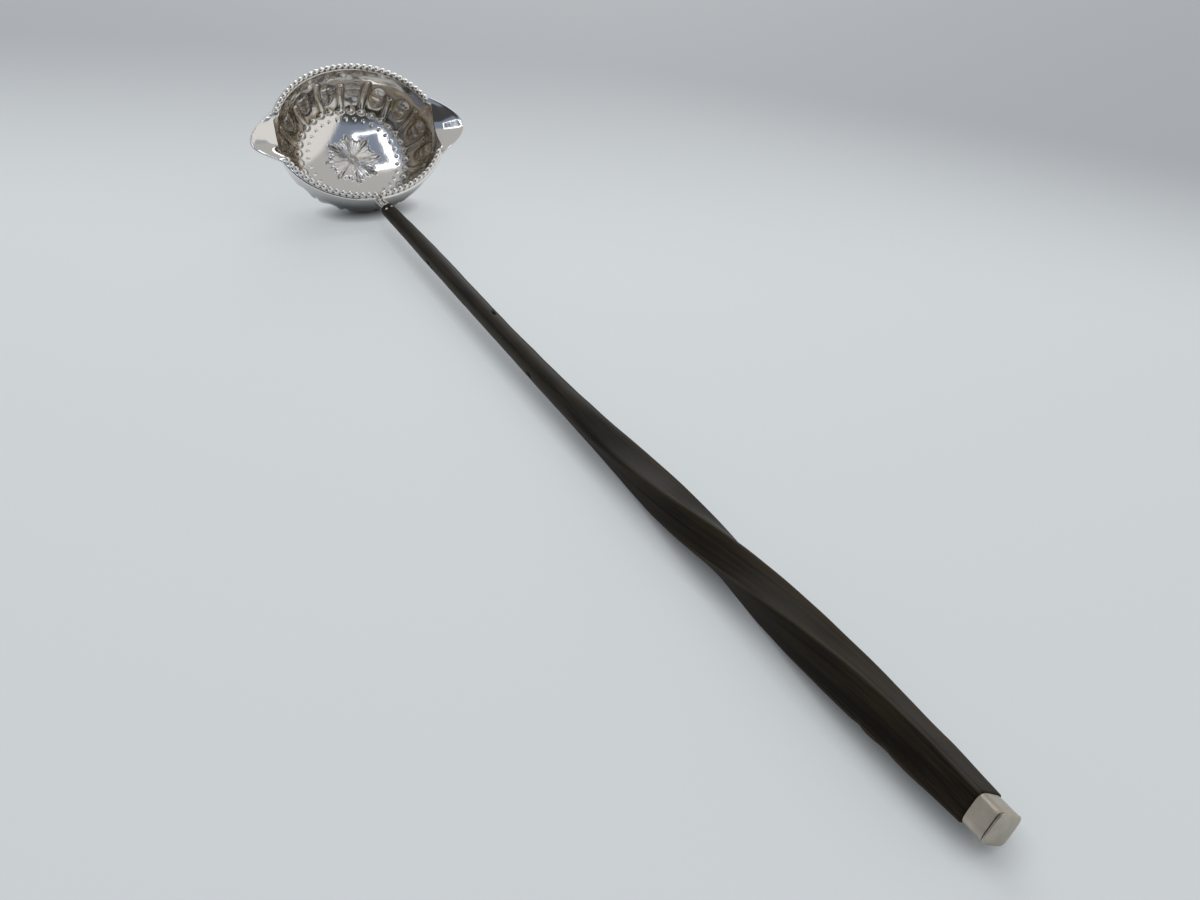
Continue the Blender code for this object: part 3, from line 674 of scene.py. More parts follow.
def bowl_surface(bowl, lips):
    """Return the bowl's grid from the floor's middle, over the rim and under to the base, and its layers.

    The inside is the section pushed along its normal by the chasing. The flange follows, with a half-round
    edge. The outside repeats the section one wall thickness out, with most of the chasing showing through.
    """
    angle = circle(BOWL_COLUMNS)[None, :]
    radius, height, normal, run = (part[..., None] for part in inner_section(bowl))
    relief = chasing(bowl, angle, run, radius)
    inside = (radius + normal[0] * relief, height + normal[1] * relief)
    rim = bowl.rim_half_width - bowl.rim_flange
    keep = ease((lip_share(lips, angle)[0] - FLANGE_BACK) / FLANGE_BLEND)
    flange_width = bowl.wall + (bowl.rim_flange - bowl.wall) * keep
    out = np.linspace(0, 1, FLANGE_ROWS + 1)[1:, None]
    round_angle = np.linspace(np.pi / 2, -np.pi / 2, EDGE_ROWS + 2)[1:, None]
    edge_radius = rim + flange_width - bowl.wall / 2 + bowl.wall / 2 * np.cos(round_angle)
    edge_height = bowl.wall / 2 * (np.sin(round_angle) - 1) + 0 * angle
    flange = (rim + (flange_width - bowl.wall / 2) * out, 0 * out + 0 * angle)
    pick = np.linspace(len(run) - RIM_ROWS, FLOOR_ROWS, OUTSIDE_ROWS).astype(int)
    sheet = bowl.wall - SHOW_THROUGH * relief[pick]
    outside = (radius[pick] - normal[0][pick] * sheet, height[pick] - normal[1][pick] * sheet)
    base_share = np.linspace(1, 0, OUTSIDE_ROWS // 2)[1:, None]
    base_height = -bowl.wall_height - bowl.dish_depth - bowl.wall
    base_radius = bowl.base_flat + base_share * (outside[0][-1:] - bowl.base_flat)
    base = (base_radius, base_height + (outside[1][-1:] - base_height) * base_share ** 2)
    rows = (inside, flange, (edge_radius, edge_height), outside, base)
    whole_radius = np.concatenate([part[0] + 0 * angle for part in rows])
    whole_height = np.concatenate([part[1] for part in rows])
    grid = bowl_place(bowl, lips, whole_radius, angle + 0 * whole_radius, whole_height)
    return grid, bowl_layers(bowl, angle, run, radius, relief, whole_height[len(relief):])


# Seat of a lip: how far its crease reaches in past the wall, and how far it stands over the flange
CREASE_INSET = 0.0002
LIP_LIFT = 0.00008

# Width of a lip's thickened edge as a share of its sheet, and how its rows gather towards that edge
BORDER_SHARE = 0.07
EDGE_GATHERING = 0.8


def lip_surface(bowl, lips, side):
    """Return a lip's grid of closed loops from end to end.

    p runs from -1 to 1 along the lip. The crease is the bowl's notched wall, and the edge is the rim's oval
    pushed out by reach * cos(pi p / 2) ** roundness. The sheet between them is a channel whose depth is
    cos(pi p / 2) ** 2 of its middle line's. A half round closes the edge, and the same sheet one thickness
    lower comes back.
    """
    p = np.linspace(-1.0, 1.0, LIP_STATIONS)[:, None]
    middle_angle, above, below = lip_ends(lips, side > 0)
    angle = middle_angle + p * np.where(p > 0, above, below)
    swell = np.clip(np.cos(np.pi / 2 * p), 0, 1)
    crease = bowl_place(bowl, lips, bowl.rim_half_width - bowl.rim_flange - CREASE_INSET, angle, 0.0)
    reach = lips.right_reach if side > 0 else lips.left_reach
    out_x = bowl.rim_half_width * np.cos(angle) + side * reach * swell ** lips.roundness
    edge = np.stack((out_x, bowl.rim_half_depth * np.sin(angle), 0 * angle), -1)

    def sheet(q):
        """Return the channel's top at shares q of the way from crease to edge."""
        q = q[None, :, None]
        plan = (crease + (edge - crease) * q) * (1.0, 1.0, 0.0)
        depth = lips.tip_drop + (lips.trough - lips.tip_drop) * (1 - q)
        depth = depth + (lips.notch - lips.trough) * np.clip(1 - q / lips.band, 0, 1) ** 2
        border = lips.border * bell((1 - q) / BORDER_SHARE)
        tall = LIP_LIFT + border - depth * swell[..., None] ** 2
        return np.concatenate((plan[..., :2], tall + 0 * plan[..., :1]), axis=-1)

    top = sheet(np.linspace(0, 1, LIP_ROWS) ** EDGE_GATHERING)
    under = sheet(np.linspace(1, 0, LIP_ROWS // 2)) - lips.thickness * UP
    away = unit((edge - crease) * (1.0, 1.0, 0.0))
    bend = np.linspace(np.pi / 2, -np.pi / 2, EDGE_ROWS + 2)[None, 1:-1, None]
    half = (lips.thickness + lips.border) / 2
    drop = (half - lips.border / 2) * UP
    rounded = top[:, -1:] - drop + away * half * np.cos(bend) + drop * np.sin(bend)
    return np.concatenate((top, rounded, under), axis=1)


def beading_surface(bowl, beading, start, end):
    """Return a beaded wire along the flange, and the tone of its gaps: patina, with painted shade on their
    inner side.

    A circle is carried along the rim's oval. Its radius is a bead's, times sqrt(1 - off ** 2) where off runs
    from -1 to 1 over each bead, or the neck's where that is larger.
    """
    middle = bowl.rim_half_width - beading.inset
    deep = middle * bowl.rim_half_depth / bowl.rim_half_width
    fine = np.linspace(start, end, PATH_STEPS)
    path = np.stack((middle * np.cos(fine), deep * np.sin(fine)), axis=1)
    run = np.concatenate(([0.0], np.cumsum(np.linalg.norm(np.diff(path, axis=0), axis=1))))
    beads = round(run[-1] / beading.pitch)
    stops = np.linspace(0.0, run[-1], beads * BEAD_STATIONS + 1)
    at = np.interp(stops, run, fine)
    tall = 0 * at + beading.sunk * beading.bead_diameter / 2
    centre = np.stack((middle * np.cos(at), deep * np.sin(at), tall), -1)
    ahead = unit(np.stack((-middle * np.sin(at), deep * np.cos(at), 0 * at), -1))
    outward = np.stack((ahead[:, 1], -ahead[:, 0], 0 * at), -1)
    off = (stops / run[-1] * beads % 1.0) * 2 - 1
    swell = beading.bead_diameter / 2 * np.sqrt(np.clip(1 - off ** 2, 0, 1))
    radius = np.maximum(swell, beading.neck_diameter / 2)
    radius[0] = radius[-1] = beading.neck_diameter / 2
    around = circle(BEAD_COLUMNS)[None, :, None]
    spoke = outward[:, None] * np.cos(around) + UP * np.sin(around)
    # Tone between the beads: patina, darkest on their inner side as a painted reflection of the dark wall
    gap = ease((np.abs(off)[:, None] - 0.45) / 0.5) * ease((0.75 - np.sin(around[..., 0] + 0.5)) / 0.9)
    return centre[:, None] + radius[:, None, None] * spoke, {"hollow": gap, "wall": gap}


# Stem: length inside the handle, and the raised line round it just before the handle
STEM_IN_HANDLE = 0.004
COLLAR_HEIGHT = 0.00016
COLLAR_PLACE = 0.0004
COLLAR_WIDTH = 0.0003


def stem_surface(bowl, stem, handle, cap):
    """Return the stem's grid: a straight rod from the wall under the flange into the handle's end.

    Its upper end is mitred along the wall: a point at height y over the rod's line starts where
    y sin(rise) - z cos(rise) is the distance from the origin to the middle of the wall.
    """
    around = circle(STEM_COLUMNS)[None, :]
    to_wall = stem.overhang + bowl.rim_flange - bowl.wall / 2
    mitre = (stem.diameter / 2 * np.sin(around) * math.sin(handle.rise) - to_wall) / math.cos(handle.rise)
    end = handle_start(stem, cap) + handle.bare
    z = mitre + (end + STEM_IN_HANDLE - mitre) * np.linspace(0, 1, STEM_STATIONS)[:, None]
    radius = stem.diameter / 2 + COLLAR_HEIGHT * bell((z - end + COLLAR_PLACE) / COLLAR_WIDTH)
    return np.stack((radius * np.cos(around), radius * np.sin(around), z), axis=-1)


# Pins: what the handle stands past a circle of its end's thickness, and a head's shares of radius and heights
PIN_SWELL = 0.0002
PIN_HEAD = ((0.05, 0.00022), (0.55, 0.00017), (0.9, 0.00006), (1.0, -0.0001))


def pin_surface(stem, handle, cap, side):
    """Return a pin's grid: a short rod across the handle with a low domed head at each end."""
    chord = math.sqrt(handle.end_side ** 2 - stem.pin_spacing ** 2) / 2 + PIN_SWELL
    profile = [(wide, chord + tall) for wide, tall in PIN_HEAD]
    profile = np.array(profile + [(wide, -tall) for wide, tall in reversed(profile)])
    around = circle(STEM_COLUMNS // 2)[None, :]
    across = stem.pin_diameter / 2 * profile[:, :1] * np.cos(around) + side * stem.pin_spacing / 2
    along = stem.pin_diameter / 2 * profile[:, :1] * np.sin(around)
    tall = profile[:, 1:] + 0 * around
    c, s = math.cos(stem.pin_turn), math.sin(stem.pin_turn)
    place = handle_start(stem, cap) + handle.bare + stem.pin_place
    return np.stack((c * across - s * tall, s * across + c * tall, place + along), axis=-1)


# Chips in the handle: distance along it, angle round the section, size along, size round, depth
NICKS = (
    (0.0370, 3.10, 0.0010, 0.20, 0.00030), (0.0570, 2.75, 0.0013, 0.22, 0.00055),
    (0.0600, 2.90, 0.0012, 0.20, 0.00050), (0.1080, 0.95, 0.0012, 0.16, 0.00060),
    (0.1430, 2.70, 0.0016, 0.20, 0.00040), (0.2890, 5.50, 0.0012, 0.12, 0.00030),
    (0.2960, 5.50, 0.0018, 0.12, 0.00030),
)

# Depth of a chip that shows in full
CHIP_DEPTH = 0.0003

# Bulge of the shoulder: distance from the cap as a share of the taper, and share of the narrowing left
BULGE_PLACE = 0.4
BULGE = 0.64

# Rounded end of the shoulder: shares of its side, and how far past the handle's length they lie
SHOULDER_SHARES = (0.97, 0.90)
SHOULDER_RUNS = (0.00012, 0.0002)

# Hand-cut waves: seed, shift and rates round the section, rates along the handle, fading length at the cap
WAVE_SEED = 5
WAVE_SHIFT = 0.4
WAVE_ROUND = (1.0, 2.0, 1.5, 3.0)
WAVE_ALONG = (110, 190, 310, 520)
WAVE_END = 0.002

# Worn arrises: distance from the handle's line where wear starts and range to full wear, in half sides
WEAR_START = 1.23
WEAR_RANGE = 0.10


def handle_turn(handle, s):
    """Return how far the section is turned at a distance from the stem, clockwise seen from the cap."""
    return handle.face_turn + handle.twist * ease((s - handle.twist_start) / handle.twist_length)


def handle_surface(stem, handle, cap):
    """Return the handle's grid of sections, its grain, its worn edges and its chips.

    s is the distance along the handle. A section is a superellipse that goes from nearly round to square. It
    turns with the twist, follows a bow of sin(pi s / length) ** 2, and ends in a shoulder and a tenon. The
    grain layer holds each point's place in its own unturned section and its distance along the handle, so
    that fibres follow the twist. Chips in the shoulder are worn pale, and the others carry painted shade in
    their dents.
    """
    bend = np.linspace(0, np.pi / 2, ROUNDING_ROWS + 2)[1:]
    ease_in = handle.bare + handle.end_rounding * (1 - np.cos(bend))
    s = np.concatenate((ease_in, np.linspace(ease_in[-1], handle.length, HANDLE_STATIONS)[1:]))
    shoulder = handle.length - handle.shoulder_taper
    bulge = handle.length - BULGE_PLACE * handle.shoulder_taper
    bulge_side = handle.shoulder_side + BULGE * (handle.butt_side - handle.shoulder_side)
    places = (0.0, handle.grip_start, handle.grip_end, handle.twist_start, shoulder, bulge, handle.length)
    sides = (handle.end_side, handle.grip_side, handle.grip_side, handle.twist_side, handle.butt_side,
             bulge_side, handle.shoulder_side)
    side = np.interp(s, places, sides)
    gone = np.clip(1 - (s - handle.bare) / handle.end_rounding, 0, 1)
    side = side - 2 * handle.end_rounding * (1 - np.sqrt(1 - gone ** 2))
    tenon = cap.side - 2 * cap.wall - 2 * cap.seat_gap
    ends = np.array(SHOULDER_SHARES) * handle.shoulder_side
    s = np.concatenate((s, handle.length + np.array((*SHOULDER_RUNS, SHOULDER_RUNS[-1], cap.sleeve_length))))
    side = np.concatenate((side, ends, (tenon, tenon)))[:, None]
    s = s[:, None]
    squared = ease((s - handle.squaring_start) / handle.squaring_length)
    sharpness = handle.stem_sharpness + (handle.arris_sharpness - handle.stem_sharpness) * squared
    x, y = rounded_square(HANDLE_COLUMNS, side, sharpness)
    angle = np.arctan2(y, x)
    on_body = ease((handle.length - s) / WAVE_END)
    dent = sum(depth * bell((s - place) / long) * bell(((angle - spot + np.pi) % (2 * np.pi) - np.pi) / wide)
               for place, spot, long, wide, depth in NICKS)
    ripple = waves(WAVE_SEED, s, np.cos(angle + WAVE_SHIFT), WAVE_ALONG, WAVE_ROUND)
    scale = 1 + (handle.unevenness * ripple - dent) * on_body / (side / 2)
    x, y = x * scale, y * scale
    clockwise = -handle_turn(handle, s)
    bow = np.sin(np.pi * np.clip(s / handle.length, 0, 1)) ** 2
    across = x * np.cos(clockwise) - y * np.sin(clockwise) - handle.side_bow * bow
    up = x * np.sin(clockwise) + y * np.cos(clockwise) - handle.bow * bow
    grid = np.stack((across, up, handle_start(stem, cap) + s + 0 * x), axis=-1)
    corner = np.clip((np.hypot(x, y) / (side / 2) - WEAR_START) / WEAR_RANGE, 0, 1) * squared
    # Painted shade: the dents of the chips outside the shoulder are darkened through their own layer
    pits = np.clip(dent / CHIP_DEPTH, 0, 1) + 0 * x
    pale = s > shoulder
    return grid, {"grain": np.stack((x, y, s + 0 * x), axis=-1), "worn": np.maximum(corner, pits * pale),
                  "pit_shade": pits * ~pale}


def cap_loops(sizes, heights, sharpness, twist):
    """Return rounded squares of given sides at given heights along the handle, turned with its butt."""
    x, y = rounded_square(CAP_COLUMNS, np.array(sizes)[:, None], sharpness)
    c, s = math.cos(twist), math.sin(twist)
    return np.stack((c * x - s * y, s * x + c * y, np.array(heights)[:, None] + 0 * x), axis=-1)


def sleeve_surface(stem, handle, cap):
    """Return the sleeve's grid as a ring: up the outside with softened edges, and back down the bore."""
    start = handle_start(stem, cap) + handle.length + 0.5 * cap.seat_gap
    stop = start + cap.sleeve_length + cap.lap
    bend = np.linspace(0, np.pi / 2, ROUNDING_ROWS)
    body = np.linspace(start + cap.edge, stop - cap.edge, SLEEVE_ROWS)[1:-1]
    bore = cap.side - 2 * cap.wall
    sizes = np.concatenate((cap.side - 2 * cap.edge * (1 - np.sin(bend)), np.full(len(body), cap.side),
                            cap.side - 2 * cap.edge * (1 - np.cos(bend)), (bore, bore)))
    heights = np.concatenate((start + cap.edge * (1 - np.cos(bend)), body,
                              stop - cap.edge * (1 - np.sin(bend)), (stop, start)))
    return cap_loops(sizes, heights, cap.sharpness, -float(handle_turn(handle, handle.length)))


# Plate: size of the first loop on the plug's back as a share of the plug, and exponent of the crowned face
PLUG_MIDDLE = 0.4
CROWN_POWER = 4


def plate_surface(stem, handle, cap):
    """Return the closing plate's grid: a plug in the sleeve, a seam, a softened edge and a crowned face.

    The edge is a quarter round. From there to the middle the face rises by crown * (1 - share ** 4), where
    share is the distance from the middle in half sides of the face.
    """
    end = handle_start(stem, cap) + handle.length + cap.sleeve_length
    back = end + 1.5 * cap.seat_gap
    seam = end + 0.5 * cap.seat_gap + cap.lap + cap.seam
    stop = back + cap.plate_thickness + 0.5 * cap.seat_gap
    bend = np.linspace(0, np.pi / 2, ROUNDING_ROWS)
    inset = np.linspace(0, 1, ROUNDING_ROWS + 3)[1:-1]
    plug = cap.side - 2 * cap.wall - 2 * cap.seam
    soft = stop - cap.crown - seam
    face = cap.plate_side - 2 * soft
    sizes = np.concatenate(((PLUG_MIDDLE * plug, plug, plug, cap.plate_side),
                            cap.plate_side - 2 * soft * (1 - np.cos(bend[1:])), face * (1 - inset)))
    heights = np.concatenate(((back, back, seam, seam), stop - cap.crown - soft * (1 - np.sin(bend[1:])),
                              stop - cap.crown * (1 - inset) ** CROWN_POWER))
    return cap_loops(sizes, heights, cap.sharpness, -float(handle_turn(handle, handle.length)))


class Value:
    """A shader socket that takes part in Python arithmetic: each operator adds a Math node."""

    def __init__(self, nodes, socket):
        self.nodes = nodes
        self.socket = socket

    def math(self, operation, first, second):
        """Add a Math node on two values or numbers."""
        return self.nodes.add("ShaderNodeMath", {"operation": operation}, {0: first, 1: second})

    def __add__(self, other):
        return self.math("ADD", self, other)

    def __radd__(self, other):
        return self.math("ADD", other, self)

    def __sub__(self, other):
        return self.math("SUBTRACT", self, other)

    def __rsub__(self, other):
        return self.math("SUBTRACT", other, self)

    def __mul__(self, other):
        return self.math("MULTIPLY", self, other)

    def __rmul__(self, other):
        return self.math("MULTIPLY", other, self)

    def within(self, low, high):
        """Return this value eased from 0 at low to 1 at high."""
        inputs = {"Value": self, "From Min": low, "From Max": high}
        return self.nodes.add("ShaderNodeMapRange", {"interpolation_type": "SMOOTHSTEP"}, inputs)


class Nodes:
    """The node tree of one material, world or lamp, cleared and ready for new nodes."""

    def __init__(self, owner):
        owner.use_nodes = True
        self.tree = owner.node_tree
        self.tree.nodes.clear()

    def add(self, kind, settings=None, inputs=None, output=0):
        """Add a node: its settings first, then the values or links of its sockets. Return one output."""
        made = self.tree.nodes.new(kind)
        for key, value in (settings or {}).items():
            setattr(made, key, value)
        for key, value in (inputs or {}).items():
            if isinstance(value, Value):
                self.tree.links.new(value.socket, made.inputs[key])
            else:
                made.inputs[key].default_value = value
        return Value(self, made.outputs[output] if len(made.outputs) else None)

    def mix(self, factor, first, second):
        """Return a colour between two colours, each a colour or a link."""
        first, second = (c if isinstance(c, Value) else (*c, 1.0) for c in (first, second))
        return self.add("ShaderNodeMix", {"data_type": "RGBA"}, {0: factor, 6: first, 7: second}, output=2)

    def noise(self, where, scale, detail, roughness=0.5):
        """Return fractal noise around 0.5, at one scale or at one for each axis."""
        if isinstance(scale, tuple):
            where, scale = self.add("ShaderNodeMapping", None, {"Vector": where, "Scale": scale}), 1.0
        inputs = {"Vector": where, "Scale": scale, "Detail": detail, "Roughness": roughness}
        return self.add("ShaderNodeTexNoise", None, inputs)

    def bump(self, height, strength, distance):
        """Return the normal of a surface that a height ripples."""
        inputs = {"Height": height, "Strength": strength, "Distance": distance}
        return self.add("ShaderNodeBump", None, inputs, output="Normal")

    def parts(self, vector, axes):
        """Return a vector's parts along the named axes."""
        return [self.add("ShaderNodeSeparateXYZ", None, {0: vector}, output=axis) for axis in axes]

    def layer(self, name, output="Fac"):
        """Return one of the mesh's own layers."""
        return self.add("ShaderNodeAttribute", {"attribute_name": name}, output=output)

    def surface_from(self, **inputs):
        """Add the Principled shader and the output."""
        names = {key.replace("_", " "): value for key, value in inputs.items()}
        shader = self.add("ShaderNodeBsdfPrincipled", None, names, output="BSDF")
        self.add("ShaderNodeOutputMaterial", None, {"Surface": shader})


def fresh_material(name):
    """Return a new material and its cleared nodes."""
    made = bpy.data.materials.new(name)
    return made, Nodes(made)


def polished_silver(colours):
    """Polished silver: toned in hollows and on the wall, with painted shade under the bowl and on the side
    walls, clouds and hair scratches.
    """
    made, nodes = fresh_material("chased_polished_silver")
    where = nodes.add("ShaderNodeTexCoord", output="Object")
    hollow = nodes.layer("hollow")
    wall = nodes.layer("wall")
    cloud = nodes.noise(where, scale=160.0, detail=4.0, roughness=0.6)
    scratch = nodes.noise(where, scale=(2400.0, 260.0, 500.0), detail=2.0)
    sunk = hollow.within(0.0, 1.0)
    tone = (sunk * (0.20 + 0.80 * wall) + wall * 0.62 + (cloud - 0.5) * 0.4 * wall).within(0.02, 1.0)
    raised = (0.0 - hollow).within(0.1, 0.7)
    bump = nodes.bump(cloud * 0.6 + scratch * 0.25, strength=0.04, distance=0.0004)
    bright = nodes.mix(tone, colours.silver, colours.toned)
    # The dull layer mixes in the painted shade under the bowl
    nodes.surface_from(Base_Color=nodes.mix(nodes.layer("dull"), bright, colours.painted_under_shade), Metallic=1.0,
                       Roughness=0.08 + tone * 0.08 + raised * 0.12 + (scratch - 0.5) * 0.06, Normal=bump)
    return made


def satin_silver(colours):
    """Satin silver: rubbed one way, with fine lines and a few deeper scratches."""
    made, nodes = fresh_material("satin_silver_rubbed")
    where = nodes.add("ShaderNodeTexCoord", output="Object")
    rubbed = nodes.noise(where, scale=(5200.0, 700.0, 2600.0), detail=3.0)
    cloud = nodes.noise(where, scale=420.0, detail=3.0)
    deep = nodes.noise(where, scale=(900.0, 180.0, 2400.0), detail=0.0).within(0.66, 0.72)
    dull = (cloud * 0.7 + rubbed * 0.3).within(0.25, 0.8)
    shade = [0.82 * value for value in colours.satin]
    bump = nodes.bump(rubbed * 0.5 - deep * 0.8, strength=0.12, distance=0.0002)
    nodes.surface_from(Base_Color=nodes.mix(dull, colours.satin, shade), Metallic=1.0,
                       Roughness=0.30 + dull * 0.12 + deep * 0.1, Normal=bump)
    return made


def twisted_baleen(colours):
    """Baleen: near black, with brown fibres along the twist, a painted reflection on the left flank, pale
    arrises, chips darkened with painted shade, a score.
    """
    made, nodes = fresh_material("twisted_baleen_grain")
    grain = nodes.layer("grain", "Vector")
    worn = nodes.layer("worn")
    pit_shade = nodes.layer("pit_shade")
    broad = nodes.noise(grain, scale=(620.0, 620.0, 16.0), detail=3.0, roughness=0.55)
    fine = nodes.noise(grain, scale=(2600.0, 2600.0, 42.0), detail=4.0, roughness=0.65)
    cloud = nodes.noise(grain, scale=(90.0, 90.0, 28.0), detail=2.0)
    fibre = (broad * 0.55 + fine * 0.45 + (cloud - 0.5) * 0.55).within(0.38, 0.70)
    rubbed = (worn * (0.35 + 1.1 * broad)).within(0.30, 0.95)
    across, off, along = nodes.parts(grain, "XYZ")
    stray = off - 0.0003 + (along - 0.20) * 0.010 + (broad - 0.5) * 0.0004
    scored = (1.0 - (stray * stray).within(0.0, 2.5e-8)) * (0.0 - across).within(0.001, 0.002)
    scored = scored * along.within(0.165, 0.180) * (1.0 - along.within(0.225, 0.240))
    # Painted reflection of the pale paper: the left flank of the slender half is lightened towards the worn
    # colour
    flank_reflection = (0.0 - across).within(0.0010, 0.0024) * (1.0 - along.within(0.13, 0.18)) * (0.35 + 0.7 * broad)
    ground = nodes.mix(flank_reflection, nodes.mix(fibre, colours.baleen, colours.streak), colours.worn)
    edge = nodes.mix(rubbed, ground, colours.worn)
    bump = nodes.bump(fine * 0.6 + broad * 0.5, strength=0.16, distance=0.0003)
    # Dark colour for the painted shade in the chips' dents, and for the score line
    dark = [0.4 * value for value in colours.baleen]
    nodes.surface_from(Base_Color=nodes.mix(pit_shade + scored, edge, dark), Normal=bump, Specular_IOR_Level=0.06,
                       Roughness=0.42 + fibre * 0.14 + rubbed * 0.14 + (pit_shade + scored) * 0.2)
    return made


def finish_for(name):
    """Return a finish, made once."""
    makers = {"polished_silver": (polished_silver, "chased_polished_silver"),
              "satin_silver": (satin_silver, "satin_silver_rubbed"),
              "baleen": (twisted_baleen, "twisted_baleen_grain")}
    maker, known = makers[name]
    return bpy.data.materials.get(known) or maker(bpy.context.scene.ladle_finish)


# Angles past which two faces meet in a sharp edge
LIP_CREASE = math.radians(50)
HANDLE_CREASE = math.radians(60)
CAP_CREASE = math.radians(40)

# Beading: share of a lip's half angle at which it ends, and half the gap at the stem
BEADING_END = 0.95
STEM_GAP = 0.0002


class LADLE_OT_bowl(bpy.types.Operator):
    """Raise and chase the bowl"""

    bl_idname = "ladle.bowl"
    bl_label = "Bowl"

    def execute(self, context):
        bowl, lips = context.scene.ladle_bowl, context.scene.ladle_lips
        grid, layers = bowl_surface(bowl, lips)
        piece = surface("chased_bowl", bowl_axes(bowl).place(grid), finish_for("polished_silver"), layers)
        stand_for(piece, "polished_silver", "bowl")
        return {"FINISHED"}


class LADLE_OT_lips(bpy.types.Operator):
    """Form the two pouring lips"""

    bl_idname = "ladle.lips"
    bl_label = "Pouring lips"

    def execute(self, context):
        bowl, lips = context.scene.ladle_bowl, context.scene.ladle_lips
        for side, name in ((-1.0, "left"), (1.0, "right")):
            grid = bowl_axes(bowl).place(lip_surface(bowl, lips, side))
            piece = surface("pouring_lip_" + name, grid, finish_for("polished_silver"), sharp=LIP_CREASE)
            stand_for(piece, "polished_silver", "lip_" + name)
        return {"FINISHED"}


class LADLE_OT_beading(bpy.types.Operator):
    """Lay the three lengths of beaded wire on the rim"""

    bl_idname = "ladle.beading"
    bl_label = "Rim beading"

    def execute(self, context):
        scene = context.scene
        bowl, lips, beading = scene.ladle_bowl, scene.ladle_lips, scene.ladle_beading
        gap = STEM_GAP / (bowl.rim_half_width - beading.inset)
        front = -math.pi / 2
        runs = {
            "back": (lips.right_turn + BEADING_END * lips.right_back,
                     math.pi + lips.left_turn - BEADING_END * lips.left_back),
            "front_left": (-math.pi + lips.left_turn + BEADING_END * lips.left_front, front - gap),
            "front_right": (front + gap, lips.right_turn - BEADING_END * lips.right_front),
        }
        for name, (start, end) in runs.items():
            grid, layers = beading_surface(bowl, beading, start, end)
            grid = bowl_axes(bowl).place(grid)
            piece = surface("beaded_wire_" + name, grid, finish_for("polished_silver"), layers)
            stand_for(piece, "polished_silver", "rim_beading_" + name)
        return {"FINISHED"}


class LADLE_OT_stem(bpy.types.Operator):
    """Set the stem and its two pins"""

    bl_idname = "ladle.stem"
    bl_label = "Stem and pins"

    def execute(self, context):
        scene = context.scene
        stem, handle, cap = scene.ladle_stem, scene.ladle_handle, scene.ladle_cap
        axes = handle_axes(stem, handle, cap)
        silver = finish_for("polished_silver")
        piece = surface("bent_stem", axes.place(stem_surface(scene.ladle_bowl, stem, handle, cap)), silver)
        stand_for(piece, "polished_silver", "handle_stem")
        for side, name in ((-1.0, "left"), (1.0, "right")):
            piece = surface("pin_head_" + name, axes.place(pin_surface(stem, handle, cap, side)), silver)
            stand_for(piece, "polished_silver", "stem_pin_" + name)
        return {"FINISHED"}


class LADLE_OT_handle(bpy.types.Operator):
    """Twist the baleen handle"""

    bl_idname = "ladle.handle"
    bl_label = "Handle"

    def execute(self, context):
        scene = context.scene
        stem, handle, cap = scene.ladle_stem, scene.ladle_handle, scene.ladle_cap
        grid, layers = handle_surface(stem, handle, cap)
        grid = handle_axes(stem, handle, cap).place(grid)
        piece = surface("twisted_handle", grid, finish_for("baleen"), layers, sharp=HANDLE_CREASE)
        stand_for(piece, "baleen", "handle")
        return {"FINISHED"}


class LADLE_OT_cap(bpy.types.Operator):
    """Fit the cap's sleeve and its closing plate"""

    bl_idname = "ladle.cap"
    bl_label = "End cap"

    def execute(self, context):
        scene = context.scene
        stem, handle, cap = scene.ladle_stem, scene.ladle_handle, scene.ladle_cap
        axes = handle_axes(stem, handle, cap)
        for name, shape in (("sleeve", sleeve_surface), ("plate", plate_surface)):
            grid = axes.place(shape(stem, handle, cap))
            piece = surface("cap_" + name, grid, finish_for("satin_silver"), ring=name == "sleeve",
                            sharp=CAP_CREASE)
            stand_for(piece, "satin_silver", "end_cap_" + name)
        return {"FINISHED"}


# Paper: half the side of the sheet, the way in which it darkens, and the distances between which it does
FLOOR_HALF = 3.0
FADE_WAY = (0.6, 0.8)
FADE_START = 0.06
FADE_END = 0.42

# Right side of the paper: where more darkening starts, over how far, and the distance that it counts for
SIDE_START = 0.15
SIDE_RANGE = 0.4
SIDE_FADE = 0.30

# Colours of the room that the silver mirrors
NEAR_GREY = (0.44, 0.44, 0.435)
FAR_GREY = (0.40, 0.41, 0.42)
BLUE_GREY = (0.205, 0.240, 0.315)
LOW_DARK = (0.052, 0.055, 0.055)
PALE_WALL = (0.74, 0.73, 0.715)

# Key lamp behind the ladle
KEY_SIZE = (1.5, 1.3)
KEY_PLACE = (0.62, 1.50, 1.00)
KEY_TARGET = (0.0, 0.05, 0.0)
KEY_RADIANCE = 2.0

# Bright frame of four lamps overhead, whose bars the bowl's floor mirrors
FRAME_HEIGHT = 0.53
FRAME_SIDES = (-0.03, 0.095)
FRAME_ENDS = (-0.122, 0.085)
FRAME_BAR = 0.022
FRAME_RADIANCE = 3.6

# Camera: width of its sensor in millimetres, and nearest distance that it sees
SENSOR_WIDTH = 36.0
NEAREST = 0.01


